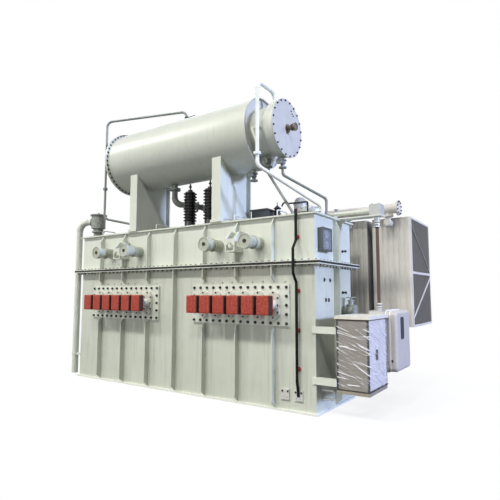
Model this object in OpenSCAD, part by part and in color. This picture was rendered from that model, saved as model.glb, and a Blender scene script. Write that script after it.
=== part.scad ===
/* [Tank] */
// Length of the tank along its front wall
tank_l = 5400; // [4800:10:6000]
// Width of the tank from front wall to back wall
tank_w = 1340; // [1200:10:1700]
// Height of the middle of the bolted flange above the ground
flange_z = 2150; // [1950:10:2300]
// Height of the top of the cover above the ground
cover_top = 2880; // [2700:10:3000]
// Thickness of the base plate
base_t = 30; // [20:1:50]
// How far the base plate stands out past the walls
base_out = 30; // [10:1:60]
// Thickness of each ring of the bolted flange
flange_t = 26; // [16:1:36]
// Thickness of the gasket between the two flange rings
gasket_t = 8; // [4:1:14]
// How far the bolted flange stands out past the walls
flange_out = 120; // [80:1:150]
// Thickness of the cover plate
cover_t = 24; // [16:1:40]
// How far the cover stands out past the walls
cover_out = 50; // [30:1:80]

/* [Ribs] */
// Thickness of a rib
rib_t = 18; // [10:1:30]
// How far a rib stands out from the wall
rib_d = 100; // [60:1:110]
// Length of the short ribs above a terminal plate
stub_l = 250; // [150:5:270]

/* [Low-voltage terminals] */
// Width of a terminal plate
plate_w = 1880; // [1700:10:1950]
// Height of a terminal plate
plate_h = 620; // [560:10:660]
// Thickness of a terminal plate
plate_t = 30; // [20:1:40]
// Height of the middle of the terminal plates above the ground
plate_z = 1525; // [1480:5:1560]
// Terminals on each plate
term_count = 6; // [4:1:6]
// Distance between neighbouring terminals
term_pitch = 274; // [250:1:290]
// Width of an oblong insulating flange
ring_w = 200; // [150:1:230]
// Height of an oblong insulating flange
ring_h = 430; // [380:1:500]
// Thickness of an oblong insulating flange
ring_t = 36; // [20:1:50]
// Width of a terminal cover
cap_w = 240; // [180:1:245]
// Height of a terminal cover
cap_h = 290; // [240:1:340]
// Depth of a terminal cover
cap_d = 284; // [200:1:320]

/* [Lifting gear] */
// Distance of a bollard from the middle of its pair
bollard_x = 395; // [380:1:450]
// Height of the bollards above the ground
bollard_z = 2480; // [2400:5:2560]
// Length of a bollard
bollard_l = 410; // [340:1:460]
// Diameter of a bollard's end disc
bollard_d = 230; // [180:1:260]
// Width of a lifting lug over its two cheeks
lug_w = 190; // [150:1:240]
// How far a lifting lug stands out from the wall
lug_d = 240; // [180:1:280]
// Height of a lifting lug at the wall
lug_h = 330; // [280:1:380]
// Diameter of the eye in a lifting lug
eye_d = 90; // [50:1:110]

/* [Conservator] */
// Height of the conservator's axis above the ground
cons_z = 4390; // [4200:10:4600]
// Distance of the conservator's axis in front of the tank's middle
cons_front = 280; // [150:5:400]
// Radius of the conservator
cons_r = 600; // [500:5:650]
// Position of the conservator's left end along the tank
cons_x0 = -1760; // [-1900:10:-1600]
// Position of the conservator's right end along the tank
cons_x1 = 1600; // [1400:10:1650]
// Wall thickness of the conservator and of the drum
shell_t = 10; // [6:1:16]
// Radius of the tap changer's oil drum
drum_r = 462; // [380:1:480]
// Length of the tap changer's oil drum
drum_l = 430; // [380:5:500]
// Position of the left pedestal along the tank
ped_x0 = -1120; // [-1300:10:-1000]
// Position of the right pedestal along the tank
ped_x1 = 925; // [800:10:1020]
// Width of a pedestal's front flange
ped_w = 190; // [150:1:240]
// Depth of a pedestal from front flange to rear flange
ped_d = 900; // [760:5:1000]
// Thickness of a pedestal's plates
ped_t = 20; // [12:1:30]

/* [Pipes] */
// Outside diameter of the loop pipe
loop_d = 60; // [40:1:80]
// Outside diameter of the breather pipe and the two oil pipes
thin_d = 44; // [30:1:60]
// Outside diameter of the gas relay pipe
relay_d = 110; // [80:1:130]
// Outside diameter of the pressure relief pipe
relief_d = 126; // [90:1:130]

/* [Bushings] */
// Height of a high-voltage bushing's sheds above its base
bushing_h = 560; // [450:10:600]
// Diameter of a high-voltage bushing's sheds
shed_d = 250; // [180:1:300]
// Sheds on a high-voltage bushing
shed_count = 10; // [6:1:14]

/* [Earthing] */
// Distance of the earthing strap from the right terminal plate's edge
strap_off = 140; // [110:5:180]
// Width of the earthing strap
strap_w = 44; // [30:1:60]
// Thickness of the earthing strap
strap_t = 8; // [5:1:14]
// Distance of the earthing strap from the wall
strap_gap = 56; // [45:1:80]
// Diameter of a hole in an earthing pad
pad_hole_d = 14; // [10:1:18]
// Distance between the two holes in an earthing pad
pad_pitch = 60; // [50:1:80]

/* [Control cabinet] */
// Width of the control cabinet along the tank
cab_w = 450; // [400:5:480]
// Depth of the control cabinet across the tank
cab_d = 740; // [640:5:760]
// Height of the control cabinet with its base and roof
cab_h = 1050; // [900:10:1150]
// Height of the control cabinet's base above the ground
cab_z = 345; // [300:5:400]
// Distance from the tank's end wall to the control cabinet
cab_gap = 310; // [260:5:330]

/* [Motor drive] */
// Width of the motor drive across the tank
drive_w = 700; // [600:5:720]
// Height of the motor drive
drive_h = 880; // [800:10:950]
// Depth of the motor drive's housing
drive_body = 270; // [220:5:300]
// Depth of the motor drive's door
drive_lid = 150; // [100:5:160]
// Wall thickness of the motor drive
drive_t = 10; // [8:1:14]
// Height of the motor drive's underside above the ground
drive_z = 560; // [500:5:600]
// Diameter of a hinge pin of the motor drive's door
pin_d = 16; // [10:1:20]
// Side of the square drive shaft
shaft_w = 40; // [25:1:50]

/* [Radiators] */
// Number of radiators
rad_count = 4; // [2:1:4]
// Distance between neighbouring radiators
rad_pitch = 740; // [690:5:760]
// Width of a radiator's panels
rad_w = 650; // [520:5:660]
// Height of a radiator's panels
rad_h = 1835; // [1600:5:1900]
// Panels in a radiator
panel_count = 26; // [16:1:26]
// Distance between neighbouring panels
panel_pitch = 50; // [45:1:55]
// Thickness of a panel
panel_t = 9; // [6:1:14]
// Outside diameter of the oil headers
header_d = 170; // [120:1:190]

/* [Hidden] */
$fn = 48;

front_y = -tank_w / 2;
back_y = tank_w / 2;
right_x = tank_l / 2;
left_x = -tank_l / 2;
lower_top = flange_z - gasket_t / 2 - flange_t;
upper_bottom = flange_z + gasket_t / 2 + flange_t;
cover_z = cover_top - cover_t;
rib_count = 7;
rib_pitch = tank_l / (rib_count + 1);
bay_x = 2 * rib_pitch;
plate_bottom = plate_z - plate_h / 2;
plate_top = plate_z + plate_h / 2;
cons_y = -cons_front;
strap_x = bay_x + plate_w / 2 + strap_off;
cab_x = right_x + cab_gap;
cab_y = front_y + 20;
drive_x = right_x + 480;
drive_over = 180;
cabinet_clear = 60;
drive_y = max(cab_y + cab_d + cabinet_clear, back_y + drive_over - drive_w);
shaft_y = drive_y + 120;
running = 0.06;

// A flat bar against a wall, from a foot at z0 to a head at z1, with its corners cut back.
// A head as deep as the bar is rounded off to the wall.
module bar(depth, z0, z1, foot, head) {
    low_corner = foot > 0 ? [[depth - foot, z0], [depth, z0 + foot]] : [[depth, z0]];
    turn_step = 7.5;
    round_head = [for (a = [0:turn_step:90 - turn_step]) [depth * cos(a), z1 - depth * (1 - sin(a))]];
    cut_head = head > 0 ? [[depth, z1 - 1.6 * head], [depth - head, z1]] : [[depth, z1]];
    profile = concat([[0, z0]], low_corner, head == depth ? round_head : cut_head, [[0, z1]]);
    rotate([90, 0, 90])
        translate([0, 0, -rib_t / 2])
            linear_extrude(rib_t)
                polygon(profile);
}

// Places its children on each rib line of the front wall, turned to stand out from it
module on_front(x) {
    translate([x, front_y, 0])
        mirror([0, 1, 0])
            children();
}

module on_back(x) {
    translate([x, back_y, 0])
        children();
}

module on_ends() {
    translate([right_x, 0, 0])
        rotate([0, 0, -90])
            children();
    translate([left_x, 0, 0])
        rotate([0, 0, 90])
            children();
}

// A round bar from one point to another
module rod(a, b, d) {
    way = b - a;
    translate(a)
        rotate([0, acos(way[2] / norm(way)), atan2(way[1], way[0])])
            cylinder(h = norm(way), d = d);
}

function unit(v) = v / norm(v);

// A quarter or part of a ring that turns from direction u to direction w round the corner p
module elbow(p, u, w, d, bend_r) {
    turn = acos(u * w);
    side = unit(w - (u * w) * u);
    centre = p - u * bend_r * tan(turn / 2) + side * bend_r;
    x = -side;
    z = cross(x, u);
    multmatrix([[x[0], u[0], z[0], centre[0]],
            [x[1], u[1], z[1], centre[1]],
            [x[2], u[2], z[2], centre[2]],
            [0, 0, 0, 1]])
        rotate_extrude(angle = turn)
            translate([bend_r, 0])
                circle(d = d);
}

// A pipe along a list of points, with a slightly wider welded bend slipped over each corner
module pipe(points, d, bend_r) {
    n = len(points);
    lap = 0.12 * d;
    bend_d = 1.08 * d;
    ways = [for (i = [0:n - 2]) unit(points[i + 1] - points[i])];
    cuts = [for (i = [0:n - 1]) i == 0 || i == n - 1 ? 0
        : bend_r * tan(acos(ways[i - 1] * ways[i]) / 2) - lap];
    for (i = [0:n - 2])
        rod(points[i] + ways[i] * cuts[i], points[i + 1] - ways[i] * cuts[i + 1], d);
    for (i = [1:n - 2])
        elbow(points[i], ways[i - 1], ways[i], bend_d, bend_r);
}

// A round plate of thickness t that starts at p and faces along way
module disc(p, way, d, t) {
    rod(p, p + unit(way) * t, d);
}

// Tank, from the ground up
tank_paint = [0.76, 0.79, 0.72];

module base_plate() {
    color(tank_paint)
        translate([left_x - base_out, front_y - base_out, 0])
            cube([tank_l + 2 * base_out, tank_w + 2 * base_out, base_t]);
}

module lower_tank() {
    color(tank_paint)
        translate([left_x, front_y, base_t])
            cube([tank_l, tank_w, lower_top - base_t]);
}

module lower_ribs() {
    middle = (rib_count - 1) / 2;
    color(tank_paint) {
        for (i = [-middle:middle]) {
            if (i == 0)
                on_front(0) bar(rib_d, base_t, lower_top, rib_d * 0.9, 0);
            else {
                on_front(i * rib_pitch) bar(rib_d, base_t, plate_bottom, rib_d * 0.9, rib_d);
                on_front(i * rib_pitch) bar(rib_d, lower_top - stub_l, lower_top, rib_d * 0.9, 0);
            }
            on_back(i * rib_pitch) bar(rib_d, base_t, lower_top, rib_d * 0.9, 0);
        }
        on_ends() bar(rib_d, base_t, lower_top, rib_d * 0.9, 0);
    }
}

// One layer of the bolted joint round the tank
module joint_layer(z, t, out) {
    translate([left_x - out, front_y - out, z])
        cube([tank_l + 2 * out, tank_w + 2 * out, t]);
}

module lower_flange() {
    color(tank_paint)
        joint_layer(lower_top, flange_t, flange_out);
}

module flange_gasket() {
    color([0.12, 0.12, 0.12])
        joint_layer(lower_top + flange_t, gasket_t, 0.9 * flange_out);
}

module upper_flange() {
    color(tank_paint)
        joint_layer(upper_bottom - flange_t, flange_t, flange_out);
}

module upper_tank() {
    color(tank_paint)
        translate([left_x, front_y, upper_bottom])
            cube([tank_l, tank_w, cover_z - upper_bottom]);
}

lug_z = bollard_z - 130;

module upper_ribs() {
    middle = (rib_count - 1) / 2;
    color(tank_paint) {
        for (i = [-middle:middle]) {
            if (abs(i) == 2) {
                on_front(i * rib_pitch) bar(rib_d, upper_bottom, lug_z, 0, 0);
                on_front(i * rib_pitch) bar(rib_d, lug_z + lug_h, cover_z, 0, rib_d * 0.8);
            }
            else
                on_front(i * rib_pitch) bar(rib_d, upper_bottom, cover_z, 0, rib_d * 0.8);
            on_back(i * rib_pitch) bar(rib_d, upper_bottom, cover_z, 0, rib_d * 0.8);
        }
        on_ends() bar(rib_d, upper_bottom, cover_z, 0, rib_d * 0.8);
    }
}

module tank_cover() {
    color(tank_paint)
        translate([left_x - cover_out, front_y - cover_out, cover_z])
            cube([tank_l + 2 * cover_out, tank_w + 2 * cover_out, cover_t]);
}

// Low-voltage terminals on the front wall
ring_y = front_y - plate_t;
cap_y = ring_y - ring_t;
term_span = (term_count - 1) * term_pitch;

module each_terminal() {
    for (side = [-1, 1])
        for (i = [0:term_count - 1])
            translate([side * bay_x - term_span / 2 + i * term_pitch, 0, plate_z])
                children();
}

module terminal_plates() {
    color([0.80, 0.82, 0.77])
        for (side = [-1, 1])
            translate([side * bay_x - plate_w / 2, front_y - plate_t, plate_bottom])
                cube([plate_w, plate_t, plate_h]);
}

module terminal_insulators() {
    color([0.92, 0.92, 0.88])
        each_terminal()
            translate([0, ring_y, 0])
                rotate([90, 0, 0])
                    linear_extrude(ring_t)
                        union() {
                            square([ring_w, ring_h - ring_w], center = true);
                            for (end = [-1, 1])
                                translate([0, end * (ring_h - ring_w) / 2])
                                    circle(d = ring_w);
                        }
}

// A moulded cover with a thin rim round its open back
module terminal_covers() {
    rim = 12;
    rim_t = 16;
    color([0.78, 0.16, 0.10])
        each_terminal()
            translate([0, cap_y, 0])
                union() {
                    translate([-cap_w / 2, -rim_t, -cap_h / 2])
                        cube([cap_w, rim_t, cap_h]);
                    translate([-cap_w / 2 + rim, -cap_d, -cap_h / 2 + rim])
                        cube([cap_w - 2 * rim, cap_d, cap_h - 2 * rim]);
                    translate([-cap_w / 2, -cap_d, -cap_h / 2])
                        cube([cap_w, cap_d - 5 * rim_t, cap_h]);
                }
}

// Lifting gear on the front wall
module bollards() {
    neck = 0.47 * bollard_l;
    disc_t = 0.17 * bollard_l;
    rim = 0.07 * bollard_d;
    hole_d = 0.17 * bollard_d;
    outline = [[0, 0], [0.42 * bollard_d, 0], [0.42 * bollard_d, neck - rim],
        [0.47 * bollard_d, neck - rim], [0.47 * bollard_d, neck],
        [0.37 * bollard_d, neck], [0.37 * bollard_d, bollard_l - disc_t],
        [bollard_d / 2, bollard_l - disc_t], [bollard_d / 2, bollard_l],
        [bollard_d / 2 - rim, bollard_l], [bollard_d / 2 - rim, bollard_l - rim / 2],
        [hole_d / 2, bollard_l - rim / 2], [hole_d / 2, bollard_l - disc_t], [0, bollard_l - disc_t]];
    color(tank_paint)
        for (side = [-1, 1])
            for (end = [-1, 1])
                translate([side * bay_x + end * bollard_x, front_y, bollard_z])
                    rotate([90, 0, 0])
                        rotate_extrude()
                            polygon(outline);
}

// Two cheeks with an eye, a floor between them and a nose plate with a hollow lower edge
module lifting_lugs() {
    cheek_t = 22;
    floor_t = 18;
    nose_h = 0.62 * lug_h;
    cheek = [[0, 0], [lug_d, 0], [lug_d, nose_h], [0.45 * lug_d, lug_h], [0, lug_h]];
    eye = [0.62 * lug_d, 0.30 * lug_h];
    color(tank_paint)
        for (side = [-1, 1])
            translate([side * bay_x, front_y, lug_z])
                mirror([0, 1, 0]) {
                    difference() {
                        union() {
                            for (end = [-1, 1])
                                translate([end * (lug_w - cheek_t) / 2 - cheek_t / 2, 0, 0])
                                    rotate([90, 0, 90])
                                        linear_extrude(cheek_t)
                                            polygon(cheek);
                            translate([-lug_w / 2, 0, 0])
                                cube([lug_w, lug_d, floor_t]);
                            translate([-lug_w / 2, lug_d - cheek_t, nose_h / 2])
                                cube([lug_w, cheek_t, nose_h / 2]);
                        }
                        translate([-lug_w, eye[0], eye[1] + floor_t])
                            rotate([0, 90, 0])
                                cylinder(h = 2 * lug_w, d = eye_d);
                        translate([0, lug_d - 2 * cheek_t, nose_h / 2 - 0.1 * lug_w])
                            rotate([-90, 0, 0])
                                cylinder(h = 3 * cheek_t, d = 0.6 * lug_w);
                    }
                }
}

// Conservator and the tap changer's oil drum on its right end
end_lip = 40;
end_t = 20;
ring_out = 40;
neck_r = drum_r - 57;
neck_l = drum_l - 150;
drum_x1 = cons_x1 + drum_l;
cons_end_x = cons_x1 - end_lip;

// A solid round bar along the conservator's axis
module along_axis(x0, x1, r) {
    translate([x0, cons_y, cons_z])
        rotate([0, 90, 0])
            cylinder(h = x1 - x0, r = r, $fn = 96);
}

module conservator_shell() {
    color(tank_paint)
        difference() {
            union() {
                along_axis(cons_x0, cons_x1, cons_r);
                along_axis(cons_x0, cons_x0 + end_t, cons_r + ring_out);
            }
            along_axis(cons_x0 - 1, cons_x1 + 1, cons_r - shell_t);
        }
}

module conservator_left_end() {
    manhole_r = 0.7 * cons_r;
    color(tank_paint)
        union() {
            along_axis(cons_x0 - end_t, cons_x0, cons_r + ring_out);
            along_axis(cons_x0 - 3 * end_t, cons_x0 - end_t, manhole_r);
        }
}

module conservator_right_end() {
    color([0.66, 0.70, 0.70])
        along_axis(cons_end_x - end_t, cons_end_x, cons_r - shell_t);
}

module tap_drum() {
    color(tank_paint)
        difference() {
            union() {
                along_axis(cons_end_x, cons_x1 + neck_l, neck_r);
                along_axis(cons_x1 + neck_l, drum_x1, drum_r);
            }
            along_axis(cons_end_x - 1, drum_x1 + 1, neck_r - shell_t);
        }
}

module tap_drum_cover() {
    color([0.72, 0.76, 0.80])
        along_axis(drum_x1, drum_x1 + end_t, drum_r + ring_out / 2);
}

module level_gauge() {
    dial_d = 130;
    outline = [[0, 0], [0.55 * dial_d, 0], [0.55 * dial_d, 14], [0.3 * dial_d, 14], [0.3 * dial_d, 70],
        [0.42 * dial_d, 76], [0.42 * dial_d, 96], [0.28 * dial_d, 102], [0.28 * dial_d, 118],
        [dial_d / 2, 124], [dial_d / 2, 158], [0.42 * dial_d, 158], [0.42 * dial_d, 150], [0, 150]];
    color([0.45, 0.42, 0.36])
        translate([drum_x1 + end_t, cons_y, cons_z])
            rotate([0, 90, 0])
                rotate_extrude()
                    polygon(outline);
}

// Pedestals that carry the conservator on the cover
ped_pad_t = 26;

module pedestal(x) {
    base_z = cover_top + ped_pad_t;
    front = cons_y - ped_d / 2;
    post_top = cons_z - sqrt(cons_r * cons_r - ped_d * ped_d / 4) + 2 * ped_t;
    inner = ped_d - 2 * ped_t;
    rib_h = post_top - base_z - ped_t;
    cheek = [[0, 0], [inner, 0], [0, rib_h * 0.98]];
    difference() {
        union() {
            translate([x - 0.6 * ped_w, front - ped_t, cover_top])
                cube([1.2 * ped_w, 0.35 * ped_d, ped_pad_t]);
            translate([x - 0.6 * ped_w, front + 0.7 * ped_d, cover_top])
                cube([1.2 * ped_w, 0.3 * ped_d + ped_t, ped_pad_t]);
            translate([x - 0.6 * ped_w, front - ped_t, base_z])
                cube([1.2 * ped_w, ped_d + 2 * ped_t, ped_t]);
            translate([x - ped_w / 2, front, base_z + ped_t])
                cube([ped_w, ped_t, rib_h]);
            translate([x - ped_w / 2, front + ped_d - ped_t, base_z + ped_t])
                cube([ped_w, ped_t, rib_h]);
            translate([x - ped_t / 2, front, base_z + ped_t])
                cube([ped_t, ped_d, rib_h]);
            for (end = [-1, 1])
                translate([x + end * (ped_w - ped_t) / 2 - ped_t / 2, front + ped_t, base_z + ped_t])
                    rotate([90, 0, 90])
                        linear_extrude(ped_t)
                            polygon(cheek);
            intersection() {
                along_axis(x - ped_w / 2, x + ped_w / 2, cons_r + ped_t);
                translate([x - ped_w, front, base_z + ped_t])
                    cube([2 * ped_w, ped_d, rib_h]);
            }
        }
        along_axis(x - ped_w, x + ped_w, cons_r);
    }
}

module pedestals() {
    color(tank_paint)
        for (x = [ped_x0, ped_x1])
            pedestal(x);
}

// Pipes between the conservator and the cover
collar_t = 22;

// A pair of collars halfway along a straight stretch
module collars(p, way, d) {
    disc(p - unit(way) * collar_t, way, 2 * d, 2 * collar_t);
}

breather_x = -180;
breather_left = -1890;
breather_front = -800;
breather_top = 5200;

module breather_pipe() {
    foot = [-1300, -450, cover_top];
    low_z = 3190;
    route = [[breather_x, cons_y, cons_z + cons_r - 2 * thin_d], [breather_x, cons_y, breather_top],
        [breather_left, breather_front, breather_top], [breather_left, breather_front, low_z],
        [foot[0], foot[1], low_z - 140], foot];
    color([0.66, 0.68, 0.66])
        difference() {
            union() {
                pipe(route, thin_d, 2.5 * thin_d);
                collars([breather_x, cons_y, cons_z + cons_r + 50], [0, 0, 1], thin_d);
                collars([breather_left, breather_front, 3800], [0, 0, 1], thin_d);
            }
            along_axis(cons_x0, cons_x1, cons_r);
        }
}

loop_x = 1800;
loop_front = -800;
loop_top = 5060;
loop_low = 3690;
loop_foot = [right_x - 130, -110, cover_top];

module loop_pipe() {
    route = [[loop_x, cons_y, cons_z + neck_r - 2 * loop_d], [loop_x, cons_y, loop_top],
        [loop_x, loop_front, loop_top], [loop_x, loop_front, loop_low],
        [loop_foot[0], loop_foot[1], 3060], loop_foot];
    color([0.78, 0.80, 0.76])
        difference() {
            union() {
                pipe(route, loop_d, 2 * loop_d);
                collars([loop_x, cons_y, cons_z + neck_r + 70], [0, 0, 1], loop_d);
                collars([loop_x, loop_front, 3880], [0, 0, 1], loop_d);
            }
            along_axis(cons_x1 - 1, cons_x1 + neck_l, neck_r);
        }
}

// A triangular frame of flat bar that holds the loop pipe off the drum
module loop_pipe_bracket() {
    bar_w = 30;
    top_z = cons_z - 40;
    drop = 330;
    y = loop_front + loop_d / 2;
    frame = [[0, 0], [-160, 0], [-bar_w, -drop], [0, -drop]];
    hole = [[-bar_w, -bar_w], [-160 + 1.8 * bar_w, -bar_w], [-bar_w, -drop + 3 * bar_w]];
    color(tank_paint)
        difference() {
            union() {
                translate([loop_x, y + strap_t, top_z])
                    rotate([90, 0, 0])
                        linear_extrude(strap_t)
                            difference() {
                                polygon(frame);
                                polygon(hole);
                            }
                translate([loop_x - bar_w, y, top_z - bar_w])
                    cube([bar_w, cons_y - y, bar_w]);
            }
            along_axis(cons_x1 - 1, cons_x1 + neck_l, neck_r);
        }
}

valve_h = 190;
valve_spots = [[cons_x1 + 0.3 * neck_l, neck_r], [cons_x1 + neck_l + 75, drum_r]];
oil_feet = [[right_x - 560, -300], [right_x - 200, 200]];
oil_knees = [2990, 3250];

module oil_pipes() {
    color([0.62, 0.64, 0.62])
        for (i = [0, 1]) {
            top_z = cons_z - valve_spots[i][1] - valve_h;
            route = [[valve_spots[i][0], cons_y, top_z], [valve_spots[i][0], cons_y, top_z - 110],
                [oil_feet[i][0], oil_feet[i][1], oil_knees[i]], [oil_feet[i][0], oil_feet[i][1], cover_top]];
            pipe(route, thin_d, 1.6 * thin_d);
        }
}

// A stop valve that hangs from the shell: two flanges, a barrel and a hand wheel to the front
module stop_valve(x, r) {
    flange_d = 130;
    difference() {
        union() {
            translate([x, cons_y, cons_z - r - valve_h]) {
                cylinder(h = valve_h + 30, d = 0.5 * flange_d);
                cylinder(h = collar_t, d = flange_d);
                translate([0, 0, valve_h - 3 * collar_t])
                    cylinder(h = collar_t, d = flange_d);
                translate([0, 0, valve_h / 2])
                    sphere(d = 0.75 * flange_d);
                translate([0, 0, valve_h / 2])
                    rotate([90, 0, 0])
                        cylinder(h = flange_d, d = 0.25 * flange_d);
                translate([0, -flange_d + collar_t, valve_h / 2])
                    rotate([90, 0, 0])
                        cylinder(h = collar_t, d = 0.8 * flange_d);
            }
        }
        along_axis(x - flange_d, x + flange_d, r);
    }
}

module shutoff_valves() {
    color([0.50, 0.52, 0.50]) {
        for (spot = valve_spots)
            stop_valve(spot[0], spot[1]);
        stop_valve(cons_x1 - 210, cons_r);
    }
}

// Gas relay line from the conservator down to the cover
relay_top = [-455, cons_y, cons_z - cons_r];
relay_knee = [-455, cons_y, 3420];
relay_way = unit([0.73, 0.68, -0.10]);
relay_start = 200;
relay_l = 240;
relay_turn = 640;
relay_in = relay_knee + relay_way * relay_start;
relay_out = relay_in + relay_way * relay_l;

module relay_pipe() {
    color([0.55, 0.57, 0.53])
        difference() {
            union() {
                pipe([relay_top + [0, 0, 60], relay_knee, relay_in], relay_d, 1.25 * relay_d);
                collars(relay_top - [0, 0, 90], [0, 0, 1], relay_d);
                disc(relay_in - relay_way * collar_t, relay_way, 1.8 * relay_d, collar_t);
            }
            along_axis(cons_x0, cons_x1, cons_r);
        }
}

module gas_relay() {
    body_l = norm(relay_out - relay_in);
    color([0.40, 0.42, 0.42])
        union() {
            disc(relay_in, relay_way, 1.8 * relay_d, collar_t);
            disc(relay_out - relay_way * collar_t, relay_way, 1.8 * relay_d, collar_t);
            rod(relay_in, relay_out, relay_d);
            translate((relay_in + relay_out) / 2) {
                cylinder(h = 0.55 * body_l, d = 0.55 * body_l);
                cylinder(h = 0.62 * body_l, d = 0.35 * body_l);
            }
        }
}

module relay_outlet() {
    knee = relay_knee + relay_way * relay_turn;
    from = relay_out + relay_way * running;
    color([0.55, 0.57, 0.53])
        union() {
            pipe([from, knee, [knee[0], knee[1], cover_top + running]], relay_d, 1.25 * relay_d);
            disc(from, relay_way, 1.8 * relay_d, collar_t);
            disc([knee[0], knee[1], cover_top], [0, 0, 1], 1.8 * relay_d, collar_t);
        }
}

// Bushings on the cover
function shed_outline(d, h, n) = let (core = 0.36 * d, step = h / n)
    concat([[0, 0]], [for (i = [0:n - 1]) each [[core, i * step], [d / 2, (i + 0.30) * step],
        [d / 2, (i + 0.42) * step], [core, (i + 0.9) * step]]], [[core, h], [0, h]]);

module bushing(x, y, base_h, h, d, n, stud_h) {
    stud_d = 0.12 * d;
    color([0.08, 0.08, 0.09])
        translate([x, y, cover_top])
            union() {
                cylinder(h = 0.2 * base_h, d = 1.15 * d);
                cylinder(h = base_h, d = 0.8 * d);
                translate([0, 0, base_h])
                    rotate_extrude()
                        polygon(shed_outline(d, h, n));
                translate([0, 0, base_h + h])
                    cylinder(h = stud_h, d = stud_d);
                translate([0, 0, base_h + h])
                    cylinder(h = 0.25 * stud_h, d = 0.36 * d);
                translate([0, 0, base_h + h + 0.55 * stud_h])
                    cylinder(h = 0.18 * stud_h, d = 2 * stud_d, $fn = 6);
            }
}

bushing_y = -330;
bushing_base = 140;
bushing_stud = 160;

module high_voltage_bushings() {
    for (x = [-10, 470])
        bushing(x, bushing_y, bushing_base, bushing_h, shed_d, shed_count, bushing_stud);
}

neutral_d = 0.55 * shed_d;
box_size = [320, 300, 290];
box_lid_t = 24;
box_clear = 20;
box_x = ped_x1 + 0.6 * ped_w + box_lid_t + box_clear;
neutral_x = box_x + box_size[0] + box_lid_t + 0.6 * neutral_d + box_clear;

module neutral_bushing() {
    bushing(neutral_x, 260, 0.5 * bushing_base, 0.5 * bushing_h, neutral_d, 6, 0.5 * bushing_stud);
}

// A terminal box on the cover, with a lid that stands out all round
module cover_box() {
    color([0.30, 0.32, 0.33])
        translate([box_x, 100, cover_top])
            union() {
                cube(box_size);
                translate([-box_lid_t, -box_lid_t, box_size[2]])
                    cube([box_size[0] + 2 * box_lid_t, box_size[1] + 2 * box_lid_t, box_lid_t]);
            }
}

head_at = [right_x - 500, shaft_y - 100, cover_top];
head_d = 500;
head_neck = 0.84 * head_d;

module tap_changer_head() {
    rim = 40;
    neck_top = 150;
    dome = 94;
    lid = neck_top + rim;
    outline = [[0, 0], [head_d / 2, 0], [head_d / 2, rim], [head_neck / 2, rim], [head_neck / 2, neck_top],
        [head_d / 2, neck_top], [head_d / 2, lid], [0.4 * head_d, lid], [0.36 * head_d, lid + 0.53 * dome],
        [0.24 * head_d, lid + 0.87 * dome], [0, lid + dome]];
    color([0.72, 0.73, 0.72])
        translate(head_at)
            rotate_extrude()
                polygon(outline);
}

// Pressure relief valve at the left end of the cover, and the pipe that leads its oil down
relief_at = [left_x + 200, front_y + 190, cover_top];
relief_drop = [left_x - flange_out - 0.55 * relief_d, front_y + 15];

module relief_valve() {
    body_d = 290;
    outline = [[0, 0], [0.32 * body_d, 0], [0.32 * body_d, 110], [0.45 * body_d, 110],
        [0.45 * body_d, 140], [0.36 * body_d, 140], [0.36 * body_d, 190], [body_d / 2, 200],
        [body_d / 2, 470], [0.6 * body_d, 470], [0.6 * body_d, 492], [0, 500]];
    color([0.58, 0.62, 0.62])
        translate(relief_at)
            union() {
                rotate_extrude()
                    polygon(outline);
                cylinder(h = 540, d = 0.12 * body_d);
            }
}

module relief_pipe() {
    body_d = 290;
    toward = unit([relief_drop[0] - relief_at[0], relief_drop[1] - relief_at[1], 0]);
    start = relief_at + [0, 0, 340];
    knee = [relief_drop[0], relief_drop[1], start[2]];
    color([0.70, 0.72, 0.67])
        difference() {
            union() {
                pipe([start, knee, [knee[0], knee[1], 50]], relief_d, 1.5 * relief_d);
                disc(start + toward * (body_d / 2 + 4), toward, 1.4 * relief_d, collar_t);
                translate([knee[0], knee[1], 420])
                    cylinder(h = 40, d = relief_d + 16);
                translate([knee[0], knee[1] - 20, 420])
                    cube([left_x - knee[0], 40, 40]);
            }
            translate(relief_at)
                cylinder(h = 600, d = body_d);
        }
}

// Earthing strap down the front wall, round the bolted flange
module earth_strap() {
    near = front_y - strap_gap;
    far = front_y - flange_out - 30;
    pad_top = 300;
    outer = [[near, cover_top + 60], [near, flange_z + 330], [far, flange_z + 200],
        [far, flange_z - 160], [near, flange_z - 290], [near, pad_top + 150],
        [front_y - 24, pad_top], [front_y - 24, pad_top - 70]];
    inner = [for (i = [len(outer) - 1:-1:0]) outer[i] + [-strap_t, 0]];
    color([0.05, 0.05, 0.05])
        translate([strap_x - strap_w / 2, 0, 0])
            rotate([90, 0, 90])
                linear_extrude(strap_w)
                    polygon(concat(outer, inner));
}

clamp_spots = [620, 1170, 1740, 2530];

// Post insulators that hold the strap off the wall, one more on the cover's edge
module strap_clamps() {
    post_d = 44;
    color([0.70, 0.10, 0.08]) {
        for (z = clamp_spots)
            translate([strap_x, front_y, z])
                rotate([90, 0, 0])
                    union() {
                        cylinder(h = strap_gap, d = post_d);
                        cylinder(h = 0.3 * strap_gap, d = 1.4 * post_d);
                    }
        translate([strap_x, front_y - strap_gap + 22, cover_top])
            cylinder(h = 70, d = post_d);
    }
}

pad_size = [130, 24, 150];
pad_z = 170;
pad_spots = [strap_x - 220, strap_x];

module earth_pads() {
    color([0.72, 0.73, 0.70])
        for (x = pad_spots)
            difference() {
                translate([x - pad_size[0] / 2, front_y - pad_size[1], pad_z])
                    cube(pad_size);
                for (end = [-1, 1])
                    translate([x + end * pad_pitch / 2, front_y + 1, pad_z + 0.25 * pad_size[2]])
                        rotate([90, 0, 0])
                            cylinder(h = pad_size[1] + 2, d = pad_hole_d);
            }
}

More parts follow.
